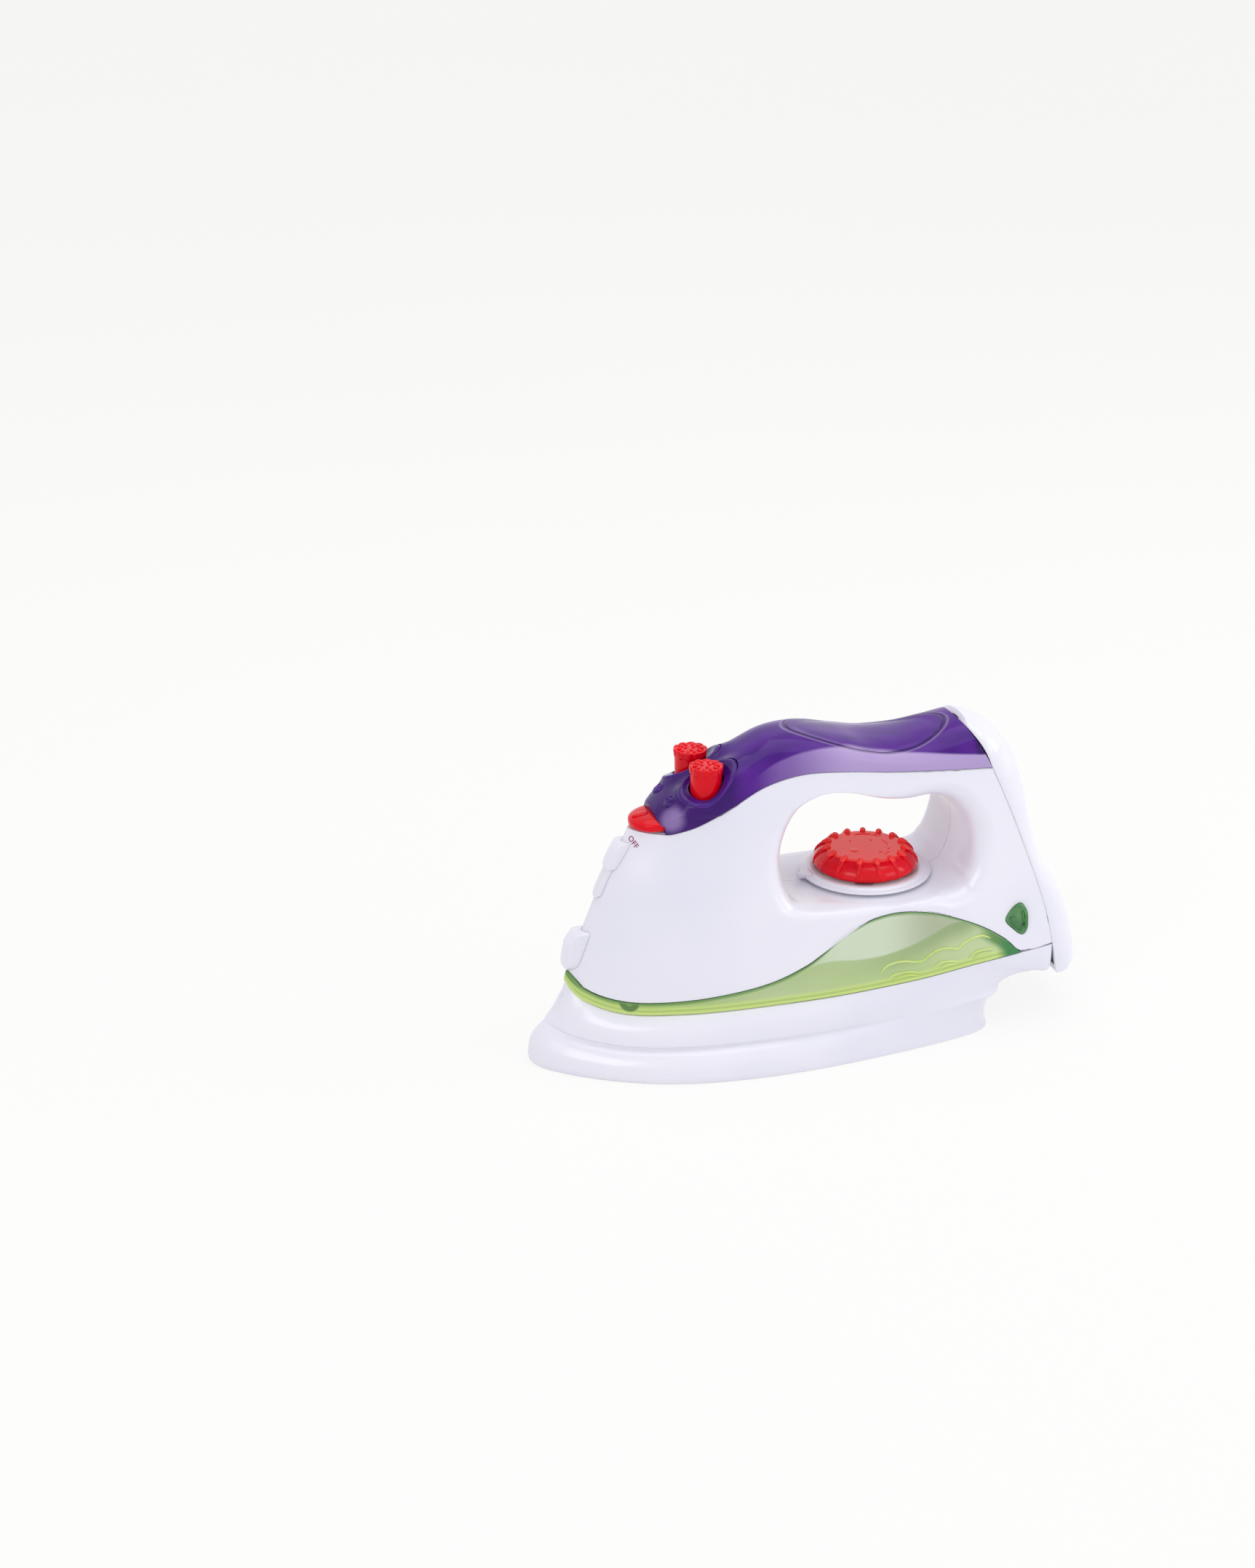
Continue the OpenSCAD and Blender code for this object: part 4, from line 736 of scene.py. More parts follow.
def turned(name: str, rings: Table, centre: Point = (0, 0, 0), sides: int = 96) -> Piece:
    """Turns a round piece: a disc that is extruded and drawn in or out, ring by ring.

    Args:
        name: The piece's name.
        rings: The radius and height of each ring from the bottom up, in millimetres.
        centre: The middle of its foot, in millimetres.
        sides: How many sides it has.

    Returns:
        The object.
    """
    bare()
    x, y, z = (v * MM for v in centre)
    radius, low = rings[0]
    bpy.ops.mesh.primitive_circle_add(vertices=sides, radius=radius * MM, fill_type="NGON",
                                      location=(x, y, z + low * MM))
    piece = bpy.context.object
    piece.name = piece.data.name = name
    bpy.ops.object.mode_set(mode="EDIT")
    for (r0, z0), (r1, z1) in zip(rings, rings[1:]):
        bpy.ops.mesh.extrude_region_move(TRANSFORM_OT_translate={"value": (0, 0, (z1 - z0) * MM)})
        bpy.ops.transform.resize(value=(r1 / r0, r1 / r0, 1), center_override=(x, y, z + z1 * MM))
    bpy.ops.object.mode_set(mode="OBJECT")
    bpy.ops.object.transform_apply(location=True, rotation=True, scale=True)
    return outward(piece)


def shaped(piece: Piece, move: Callable[[np.ndarray], Sequence[float]]) -> Piece:
    """Moves every point of a mesh, in millimetres."""
    for vertex in piece.data.vertices:
        vertex.co = Vector(move(np.array(vertex.co) / MM)) * MM
    piece.data.update()
    return piece


def carried(piece: Piece, matrix: Matrix) -> Piece:
    """Moves a mesh by a matrix and leaves its object at the origin."""
    piece.data.transform(matrix)
    piece.data.update()
    return piece


def finished(piece: Piece, kind: str, **settings) -> Piece:
    """Adds a modifier and applies it."""
    pick(piece)
    bpy.ops.object.modifier_add(type=kind)
    modifier = piece.modifiers[-1]
    for key, value in settings.items():
        setattr(modifier, key, value)
    bpy.ops.object.modifier_apply(modifier=modifier.name)
    return piece


def cut(piece: Piece, tool: Piece) -> Piece:
    """Cuts a piece with another one, which is used up."""
    finished(piece, "BOOLEAN", object=tool, operation="DIFFERENCE", solver="EXACT")
    bpy.data.objects.remove(tool)
    return piece


def joined(name: str, pieces: Sequence[Piece]) -> Piece:
    """Joins pieces into one."""
    bare()
    for piece in pieces:
        piece.select_set(True)
    bpy.context.view_layer.objects.active = pieces[0]
    bpy.ops.object.join()
    pieces[0].name = pieces[0].data.name = name
    return pieces[0]


def twin(piece: Piece, name: str, matrix: Matrix) -> Piece:
    """Copies a piece with its own mesh, and moves the copy."""
    copy = piece.copy()
    copy.data = piece.data.copy()
    copy.name = copy.data.name = name
    bpy.context.collection.objects.link(copy)
    return outward(carried(copy, matrix))


class Workshop:
    """Hands every finished piece its body and its finish, which comes from a slot of the record unless another is
    named.
    """

    def __init__(self, palette: Palette) -> None:
        """Keeps the finishes."""
        self.palette = palette
        self.count = 0

    def place(self, piece: Piece, body: Body, slot: str, finish: str = "", nodes: Sequence[str] = (),
              angle: float = 40) -> Piece:
        """Dresses a piece and gives it to its body.

        Args:
            piece: The piece.
            body: The body it rides on.
            slot: The record's slot it takes its finish from.
            finish: The finish, if it isn't the slot's own.
            nodes: The model's nodes it stands for.
            angle: The angle up to which its faces shade smoothly.

        Returns:
            The piece.
        """
        piece.data.materials.clear()
        piece.data.materials.append(self.palette[finish or slot])
        pick(piece)
        bpy.ops.object.shade_smooth_by_angle(angle=math.radians(angle))
        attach(piece, body.value)
        if nodes:
            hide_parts(*nodes)
        self.count += 1
        LOG.info("%s: %d faces on %s", piece.name, len(piece.data.polygons), body.value)
        bare()
        return piece


# The moulded shells


@dataclass(frozen=True)
class Housing:
    """One half of the white housing, from the finger hole out to its rims."""

    side: Side
    form: Form = FORM
    fine: int = 4
    arc_rows: int = 12
    side_rows: int = 20
    lip: float = 0.35
    nose_span: tuple[float, float] = (29.2, 73.5)
    cover_span: tuple[float, float] = (-27, 30.6)
    seam_span: tuple[float, float] = (78, 27)
    heel_span: tuple[float, float] = (41.9, 38.4)
    band_span: tuple[float, float] = (35.2, -43.4)
    dial_bore: Table = ((4.9, 44), (4.9, 62))
    button_well: Table = ((5.6, 88), (5.6, 116))
    screw_well: Table = ((2.9, 0), (2.9, 80))

    def rim(self) -> list[tuple[np.ndarray, bool, float]]:
        """The rim: each point, whether the halves meet there, and its place on the hole."""
        f, n = self.form, self.fine

        def run(place: Callable, table: Table, ends: tuple, holes: tuple, steps: int, meets: bool = False) -> list:
            """A stretch of the rim along an outline."""
            places, stations = spread(*ends, steps * n + 1), spread(*holes, steps * n + 1)
            return [(place(table, at), meets, s) for at, s in zip(places, stations)]

        rim = run(f.by_height, f.front, self.nose_span, (0.1, 3.3), 9, True)
        a, b = f.by_height(f.front, self.nose_span[1]), f.by_length(f.cover_low, self.cover_span[0])
        rim += [(mix(a, b, u), False, mix(3.3, 3.7, u)) for u in spread(0, 1, 3 * n + 1)[1:-1]]
        rim += run(f.by_length, f.cover_low, self.cover_span, (3.7, 10.5), 16)
        rim += self.bridge(rim[-1], (f.by_height(f.seam, self.seam_span[0]), False, 10.9))
        rim += run(f.by_height, f.seam, self.seam_span, (10.9, 13.2), 7)
        rim += run(f.by_length, f.band_top, self.heel_span, (13.4, 13.6), 1)
        shares, stations = spread(0, 0.97, 18 * n + 1), spread(13.8, 16, 18 * n + 1)
        last = [(f.by_length(f.band_top, mix(*self.band_span, u)), False, s) for u, s in zip(shares, stations)]
        return rim + self.bridge(rim[-1], last[0]) + last

    def bridge(self, a: tuple, b: tuple) -> list[tuple]:
        """Points between two places of the rim."""
        return [(mix(a[0], b[0], u), False, mix(a[2], b[2], u)) for u in spread(0, 1, 5)[1:-1]]

    def section(self, rim: np.ndarray, meets: bool, station: float, wall: float) -> list[Point]:
        """The points from the hole to the rim, over the outside or, with a wall, along the inside."""
        f = self.form
        hole = along(f.hole, station, True) * f.unit
        reach = float(np.linalg.norm(rim - hole))
        way = (rim - hole) / reach
        r = min(f.hole_round, 0.75 * reach)
        middle = hole + way * r
        top = f.half_width(*middle)
        inner = max(r - wall, r / 4)
        start = hole + way * (r - inner)
        points = [(start[0], 0.0, start[1])]
        for turn in spread(0, math.pi / 2, self.arc_rows + 1):
            p = hole + way * (r - inner * math.cos(turn))
            points.append((p[0], top - r + inner * math.sin(turn), p[1]))
        for share in spread(0, 1, self.side_rows + 1)[1:]:
            p = hole + way * mix(r, reach - (wall if meets else 0), math.sin(math.pi / 2 * share))
            wide = f.half_width(*p)
            points.append((p[0], max(wide - wall, wide / 3) if wall else wide, p[1]))
        if meets:
            points[-1] = (points[-1][0], 0.0, points[-1][2])
        elif not wall:
            x, y, z = points[-1]
            back = rim - way * min(self.lip, reach / 9)
            points[-1] = (back[0], f.half_width(*back), back[1])
            points.append((x, max(y - self.lip, y / 2), z))
        return points

    def build(self) -> Piece:
        """Makes the half with its cuts."""
        sections = []
        for rim, meets, station in self.rim():
            outer = self.section(rim, meets, station, 0.0)
            if meets:
                outer.append(outer[-1])
            inner = self.section(rim, meets, station, self.form.wall)
            sections.append(outer + inner[::-1])
        gap = self.form.seam_gap / 2
        rows = [[(p[0], self.side.value * (p[1] + gap), p[2]) for p in row] for row in zip(*sections)]
        piece = knit("housing_" + self.side.name.lower(), rows, True)
        finished(piece, "WELD", merge_threshold=0.00002)
        cut(piece, turned("bore", self.dial_bore, (SPOTS.dial[0], 0, 0), 48))
        cut(piece, turned("well", self.button_well, SPOTS.push(self.side, 0), 64))
        cut(piece, SPOTS.pocket())
        cut(piece, Window(self.side).prism("opening", 0.15, -6.0, 2.0))
        if self.side is Side.FAR:
            for x, z in SPOTS.posts:
                place = Matrix.Translation((x * MM, 0, z * MM)) @ Matrix.Rotation(math.radians(-90), 4, "X")
                cut(piece, carried(turned("screw_well", self.screw_well, sides=40), place))
        return piece


@dataclass(frozen=True)
class Spots:
    """The places of the moving pieces, in millimetres."""

    dial: tuple[float, float] = (22.971, 55.596)
    button: tuple[float, float] = (-39.2925, 8.4)
    switch: Point = (-54.405, 0.0, 86.219)
    tilt: float = 4.0
    lens: tuple[float, float] = (68.913, 41.81)
    posts: Table = ((-58.435, 63.28), (-26.195, 47.46), (66.495, 49.72), (60.45, 88.14))

    def push(self, side: Side, z: float) -> Point:
        """A place on a push button's axis."""
        return self.button[0], side.value * self.button[1], z

    def tilted(self) -> Matrix:
        """The place and tilt of the power switch."""
        return Matrix.Translation(Vector(self.switch) * MM) @ Matrix.Rotation(math.radians(-self.tilt), 4, "Y")

    def pocket(self) -> Piece:
        """The room for the power switch and its seat."""
        rings = ((7.6, -4.2), (7.6, -2.35), (9.2, -2.35), (9.82, -1.5), (9.82, -0.2), (9.05, 0.9), (7.7, 1.45),
                 (6.0, 1.8), (3.1, 2.0), (0.4, 2.05))
        return carried(turned("pocket", rings, (0, 0, 0), 72), self.tilted())


SPOTS = Spots()


@dataclass(frozen=True)
class HandleCover:
    """The tinted cover on top of the handle, with the thumb's recess."""

    form: Form = FORM
    stations: int = 132
    steps: int = 56
    power: float = 0.8
    ends: tuple[float, float] = (-27.9, 30.6)
    sink: float = 0.55
    swell: float = 1.15
    boss: tuple[float, float] = (-51.2, 6.2)
    boss_rings: Table = ((0.2, 0.55), (0.6, 0.5), (0.85, 0.3), (1.05, 0.25), (1.25, 0.45), (1.55, 0.62),
                         (1.85, 0.5), (2.1, 0.15), (2.3, -0.3))

    def low(self, s: float) -> np.ndarray:
        """The low edge at a station."""
        return self.form.by_length(self.form.cover_low, mix(*self.ends, s / 13))

    def crown(self, s: float) -> np.ndarray:
        """The ridge of the arch at a station."""
        return along(self.form.cover_top, s) * self.form.unit

    def arch(self, s: float, wall: float, recess: bool = True) -> list[Point]:
        """One arch from the near edge to the far edge."""
        low, high = self.low(s), self.crown(s)
        up = high - low
        size = float(np.linalg.norm(up))
        wide = self.form.half_width(*low) * min(1, 0.9 + 0.3 * s)
        rise = up * (size - wall) / size
        points = []
        for turn in spread(math.pi, 0, self.steps + 1):
            c, v = math.cos(turn), abs(math.sin(turn)) ** self.power
            y = -(wide - wall) * math.copysign(abs(c) ** self.power, c)
            x, z = low + rise * v
            if recess:
                ring = math.hypot((x - 21.2) / 29.2, y / 15.2)
                z -= self.sink * float(np.clip((1.02 - ring) / 0.16, 0, 1)) ** 1.5 * (z > 101)
            point = (x, y, z + self.form.seam_gap)
            points.append(self.swollen(*point) if recess and not wall else point)
        return points

    def swollen(self, x: float, y: float, z: float) -> Point:
        """Lifts the skin softly round the collars."""
        out = Collars.reach(x, y)
        lift = self.swell * float(np.clip((1.5 - out) / 0.5, 0, 1)) ** 2 * (z > 90)
        way = Vector((-0.4, 0.09 * y, 1)).normalized()
        return x + lift * way.x, y + lift * way.y, z + lift * way.z

    def solid(self, name: str, wall: float) -> Piece:
        """A filled arch, grown or shrunk by a wall."""
        arches = [self.arch(s, wall, False) for s in spread(0, 13, 80)]
        return knit(name, [list(row) for row in zip(*arches)], False)

    def build(self) -> Piece:
        """Makes the cover with its openings."""
        places = spread(0, 13, self.stations)
        outer = [self.arch(s, 0.0) for s in places]
        inner = [self.arch(s, self.form.wall) for s in places]
        rows = [list(row) for row in zip(*outer)] + [list(row) for row in zip(*inner)][::-1]
        piece = knit("handle_cover_shell", rows, False)
        for side in Side:
            cut(piece, Collars(side).oval("oval", 0.05))
        cut(piece, SPOTS.pocket())
        mouth = stack("mouth", [[(-19, -19, z), (0, -19, z), (0, 19, z), (-19, 19, z)] for z in (-19, 0)])
        return cut(piece, carried(mouth, SPOTS.tilted()))

    def skin(self) -> BVHTree:
        """The plain arch to lay other pieces on."""
        plain = self.solid("plain", 0.0)
        points = [v.co.copy() for v in plain.data.vertices]
        tree = BVHTree.FromPolygons(points, [tuple(f.vertices) for f in plain.data.polygons])
        bpy.data.objects.remove(plain)
        return tree

    def dimple(self, side: Side) -> Piece:
        """Makes the small ring boss between a collar and the switch."""
        skin = self.skin()
        x, y = self.boss[0], self.boss[1] * side.value
        rings = []
        for radius, high in self.boss_rings:
            ring = []
            for turn in spread(0, 2 * math.pi, 49)[:-1]:
                top = Vector((x + radius * math.cos(turn), y + radius * math.sin(turn), 130)) * MM
                place, normal = skin.ray_cast(top, Vector((0, 0, -1)))[:2]
                ring.append(tuple(place / MM + normal * (high + 0.2)))
            rings.append(ring)
        return stack("cover_boss_" + side.name.lower(), rings)


@dataclass(frozen=True)
class Collars:
    """The raised oval collar round one button, a rounded crest with a sunk well."""

    side: Side
    half_length: float = 10.28
    half_width: float = 7.1
    shift: float = 0.8
    bore: float = 5.98
    low: float = 93.0
    profile: Table = ((0.0, -0.1), (0.03, 0.05), (0.12, 0.2), (0.25, 0.5), (0.38, 0.88), (0.5, 1.22), (0.6, 1.42),
                      (0.68, 1.5), (0.76, 1.5), (0.84, 1.42), (0.92, 1.22), (0.97, 1.02), (1.0, 0.8))

    @classmethod
    def reach(cls, x: float, y: float) -> float:
        """How far out of a collar a place lies, 1 on its outline."""
        across = (abs(y) - SPOTS.button[1]) / cls.half_width
        return math.hypot((x - SPOTS.button[0] - cls.shift) / cls.half_length, across)

    def oval(self, name: str, grow: float) -> Piece:
        """The oval column that the collar fills."""
        place = Vector(SPOTS.push(self.side, self.low)) + Vector((self.shift, 0, 0))
        scale = Matrix.Diagonal((self.half_length + grow, self.half_width + grow, 1, 1))
        return carried(turned(name, ((1.0, 0), (1.0, 24))), Matrix.Translation(place * MM) @ scale)

    def ring(self, skin: BVHTree, share: float, high: float, drop: float = 0.0) -> list[Point]:
        """One ring of the collar: from the bore at 0 to the outline at 1, a little off the cover's skin."""
        cx, cy, top = SPOTS.push(self.side, 130)
        points = []
        for turn in spread(0, 2 * math.pi, 121)[:-1]:
            c, v = math.cos(turn), math.sin(turn)
            x = mix(cx + self.bore * c, cx + self.shift + self.half_length * c, share)
            y = mix(cy + self.bore * v, cy + self.half_width * v, share)
            hits = (skin.ray_cast(Vector((x, y * pull, top)) * MM, Vector((0, 0, -1)))
                    for pull in spread(1, 0.6, 41))
            place, normal = next(hit[:2] for hit in hits if hit[0] is not None)
            place = place / MM + normal * high
            points.append((place.x, place.y, place.z - drop))
        return points

    def build(self) -> Piece:
        """Makes the collar on the cover's skin."""
        skin = HandleCover().skin()
        table = [along(self.profile, s) for s in spread(0, len(self.profile) - 1, 37)]
        rings = [self.ring(skin, 0.0, 0.0, 3.4), self.ring(skin, 0.0, 0.0, 0.6)]
        rings += [self.ring(skin, float(share), float(high)) for share, high in table]
        rings += [self.ring(skin, 1.0, 0.0, 0.2), self.ring(skin, 1.0, 0.0, 1.5)]
        return knit("collar_" + self.side.name.lower(), rings, True)


@dataclass(frozen=True)
class RearCover:
    """The white rear cover, a stack of rounded ends from the heel to the top of the handle."""

    form: Form = FORM
    rows: int = 18
    levels: int = 72
    power: float = 2.1

    def seam_wide(self, p: np.ndarray) -> float:
        """Half the cover's width at its seam."""
        cover = HandleCover()
        low, top = cover.low(13)[1], cover.crown(13)[1]
        u = min(1.0, max(0.0, (p[1] - low) / (top - low)))
        return self.form.half_width(p[0], min(p[1], low)) * (1 - u**2.5) ** 0.4

    def point(self, k: float, u: float, wall: float) -> Point:
        """A point of the cover at a level and a place across."""
        f = self.form
        up = min(12, max(0, k)) / 12
        q = mix(0.9, 11.6, up) if wall else mix(0, 12, up)
        lip = k > 12
        shrink = 0.04 if k < 0 else 0.3 if lip else 1.0
        s = f.by_height(f.seam, float(along(f.rear_seam, q)))
        z, x = along(f.rear, q)
        r = np.array([x, z]) * f.unit
        size = float(np.linalg.norm(r - s))
        way = (r - s) / size
        deep = max(size * shrink - f.seam_gap - (0 if k < 0 else wall), 0.2)
        wide = max(self.seam_wide(s) * (0.3 if lip else 1), 0.4)
        d = deep * max(0.0, 1 - abs(u) ** self.power) ** (1 / self.power)
        x, z = s + way * d
        across = wide * wide / (wide + wall) * u * (0.96 if k < 0 else 1)
        return x + (f.seam_gap if wall else 0.07) + (0.2 if lip else 0), across, z

    def build(self) -> Piece:
        """Makes the cover."""
        across = [math.sin(math.pi / 2 * i / self.rows) for i in range(-self.rows, self.rows + 1)]
        levels = [-1.0] + spread(0, 12, self.levels) + [13.0]
        rows = [[self.point(k, u, 0) for k in levels] for u in across]
        rows += [[self.point(k, -u, self.form.wall) for k in levels] for u in across]
        return knit("rear_cover_shell", rows, False)


@dataclass(frozen=True)
class TankBand:
    """The clear band wrapped round the nose, with raised waves on its rear."""

    form: Form = FORM
    half: int = 110
    rows: int = 18
    wall: float = 1.6
    waves: tuple[Table, ...] = (
        ((16.5, 30.9), (18.9, 33.2), (22.1, 34.1), (25.8, 34.1), (29.2, 33.5), (32.3, 33.5), (34.8, 35.1),
         (38.0, 36.5), (41.8, 36.6), (45.4, 35.9), (47.5, 37.2), (51.2, 38.6), (54.9, 39.0), (58.5, 37.5)),
        ((18.9, 28.6), (21.6, 29.8), (25.0, 30.2), (28.4, 30.0), (31.1, 29.0)),
        ((20.6, 27.6), (24.0, 28.8), (27.4, 29.0), (31.0, 28.3)),
        ((36.0, 30.4), (38.9, 31.8), (42.4, 31.9), (46.0, 31.1)),
        ((38.4, 29.6), (41.4, 30.8), (45.4, 30.6)),
        ((49.5, 31.6), (52.1, 33.4), (56.2, 33.8), (60.2, 33.4)),
        ((51.4, 31.0), (54.0, 32.5), (58.6, 32.6)),
    )

    def point(self, q: float, v: float, deep: float) -> Point:
        """A point of the band: q runs from tip to tip, v from the low edge up."""
        f = self.form
        back = abs(q) ** 1.8
        xs = mix(-43.4, 35, back)
        low = curve(f.band_low, xs) + 0.25
        high = max(curve(f.band_top, xs) - 0.25, low + 0.3)
        zs = mix(low, high, v)
        x = (xs + (curve(f.front, zs) + 43.4) * (1 - back) ** 2) * f.unit[0]
        near = 1 - min(1, (xs + 43.4) / 4)
        wide = f.half_width(x, zs * f.unit[1]) + f.band_proud
        y = 0.0 if q == 0 else math.copysign(wide * wide / (wide + deep) if deep > 0 else wide - deep, q)
        return x + (deep - f.band_proud) * near, y, zs * f.unit[1]

    def rolled(self, v: float) -> float:
        """How far the outer skin falls back at its rounded edges."""
        edge = min(v, 1 - v) / 0.07
        return 0.45 * (1 - math.sqrt(max(0.0, 1 - (1 - min(1.0, edge)) ** 2)))

    def build(self) -> Piece:
        """Makes the band."""
        across = [i / self.half for i in range(-self.half, self.half + 1)]
        up = [0, 0.015, 0.035, 0.07] + spread(0.12, 0.88, self.rows - 6) + [0.93, 0.965, 0.985, 1]
        rows = [[self.point(q, v, self.rolled(v)) for q in across] for v in up]
        rows += [[self.point(q, v, self.wall) for q in across] for v in spread(1, 0, 6)]
        return knit("tank_band_shell", rows, False)

    def ridges(self, side: Side) -> Piece:
        """Makes the raised waves of one side."""
        made = []
        for wave in self.waves:
            n = 5 * (len(wave) - 1) + 1
            path = [along(wave, s) for s in spread(0, len(wave) - 1, n)]
            points = [self.form.skin_point(x, z, side, self.form.band_proud - 0.02) for x, z in path]
            radii = [0.34 * min(1.0, 0.25 + min(i, n - 1 - i) / 4) for i in range(n)]
            made.append(bead("wave", points, radii, 8))
        return joined("band_waves_" + side.name.lower(), made)


@dataclass(frozen=True)
class BaseShell:
    """The flared base between the sole and the body, with the step up to the heel."""

    form: Form = FORM

    def stations(self) -> list[float]:
        """The places along one side, in outline points."""
        return spread(0, 3, 30) + spread(3.1, 14, 70) + spread(14.1, 17.9, 36) + spread(18, 19, 9)

    def point(self, s: float, level: float, wall: float) -> Point:
        """A point of the base at a place and a level of its profile."""
        f = self.form
        ground = along(f.sole, s) * np.array([f.unit[0], f.half])
        ahead = float(along(f.base_top, s))
        height = curve(f.band_low, ahead) * f.unit[1]
        x = ahead * f.unit[0]
        end = max(0.0, (s - 16) / 3)
        top = np.array([x, (0 if s == 0 else f.half_width(x, height)) * (1 - end)])
        back, fore = min(1.0, max(0.0, (s - 14.5) / 2)), max(0.0, 1 - s / 4) ** 1.5
        other, share = (f.nose_profile, fore) if fore > 0 else (f.rear_profile, back)
        profile = mix(along(f.side_profile, level), along(other, level), share)
        p = mix(ground, top, profile[1])
        y = 0.0 if p[1] <= 0 else p[1] ** 2 / (p[1] + wall)
        x = p[0] + (wall * (1 - s / 2) if s < 2 else -wall if s > 16 else 0)
        return x, y, height * profile[0]

    def ring(self, level: float, wall: float) -> list[Point]:
        """All points round the base at a level."""
        near = [self.point(s, level, wall) for s in self.stations()]
        return near + [(x, -y, z) for x, y, z in near[-2:0:-1]]

    def build(self) -> Piece:
        """Makes the base."""
        rings = [self.ring(level, 0.0) for level in spread(0, 11, 67)]
        rings += [self.ring(level, self.form.wall) for level in (11, 9.5, 8, 7, 6, 4.5, 3, 1.5, 0)]
        return finished(knit("base_shell_skirt", rings, True), "WELD", merge_threshold=0.00001)


@dataclass(frozen=True)
class Window:
    """The tinted lens set in the rear of one side."""

    side: Side
    outline: Table = ((-2.1, 0.6), (-1.5, 1.6), (-0.5, 2.5), (0.6, 3), (1.5, 2.6), (2.1, 1.4), (2.3, -0.3),
                      (2.2, -1.9), (1.5, -2.7), (0.5, -2.4), (-0.8, -1.2), (-1.8, -0.2))
    proud: float = 0.7
    thick: float = 2.6

    def level(self) -> float:
        """How far out the lens's front lies."""
        return FORM.half_width(*SPOTS.lens) + self.proud

    def ring(self, scale: float, out: float, grow: float = 0.0) -> list[Point]:
        """The lens's outline at a size and a depth."""
        points = []
        for i in range(60):
            p = along(self.outline, i / 5, True) * FORM.unit[0]
            p = p * (scale + grow / np.linalg.norm(p))
            points.append((SPOTS.lens[0] + p[0], self.side.value * (self.level() + out), SPOTS.lens[1] + p[1]))
        return points

    def prism(self, name: str, grow: float, low: float, high: float) -> Piece:
        """A straight column of the lens's outline."""
        return stack(name, [self.ring(1, low, grow), self.ring(1, high, grow)])

    def build(self) -> Piece:
        """Makes the lens with its rounded rim and its sunk three-sided facet."""
        steps = ((1.0, -self.thick), (1.0, -0.75), (0.985, -0.35), (0.95, -0.1), (0.9, 0.0), (0.82, -0.02),
                 (0.74, -0.12), (0.68, -0.62), (0.6, -0.74), (0.34, -0.46), (0.14, -0.3), (0.03, -0.26))
        return stack("lens_" + self.side.name.lower(), [self.ring(*step) for step in steps])

    def facet(self) -> Piece:
        """Makes the raised chevron inside the lens."""
        cx, cz = SPOTS.lens
        line = ((-2.3, 1.3), (-0.4, 0.5), (1.2, -1.0), (2.7, -3.2), (2.9, -0.4), (2.2, 3.2))
        path = [along(line, s) for s in spread(0, 5, 26)]
        points = [(cx + x, self.side.value * (self.level() - 0.5), cz + z) for x, z in path]
        return bead("lens_chevron_" + self.side.name.lower(), points, [0.12] + [0.34] * 24 + [0.12], 8)


@dataclass(frozen=True)
class NosePad:
    """A raised pad on the nose's front, drawn by a table of height share, outward share and width share."""

    name: str
    table: tuple[Point, ...]
    out: float
    wide: float
    across: int = 28
    fine: int = 5

    def build(self) -> Piece:
        """Makes the pad."""
        n = self.fine * (len(self.table) - 1) + 1
        table = [along(self.table, s) for s in spread(0, len(self.table) - 1, n)]

        def row(u: float, deep: bool) -> list[Point]:
            """One line of points from the top down."""
            points = []
            for height, out, width in table:
                y, z = u * max(width, 0.05) * self.wide / 2, height * FORM.unit[1]
                front = FORM.nose_x(0, z) - max(out, 0.02) * self.out * (1 - u**4 / 4)
                back = FORM.nose_x(max(0.0, abs(y) - FORM.seam_gap / 2), z) - 0.2
                points.append((max(front + 0.05, back) if deep else front, y, z))
            return points

        across = [math.sin(math.pi / 2 * u) for u in spread(-1, 1, self.across + 1)]
        rows = [row(u, False) for u in across] + [row(u, True) for u in reversed(across)]
        return knit(self.name, rows, False)


# The moving pieces and their seats


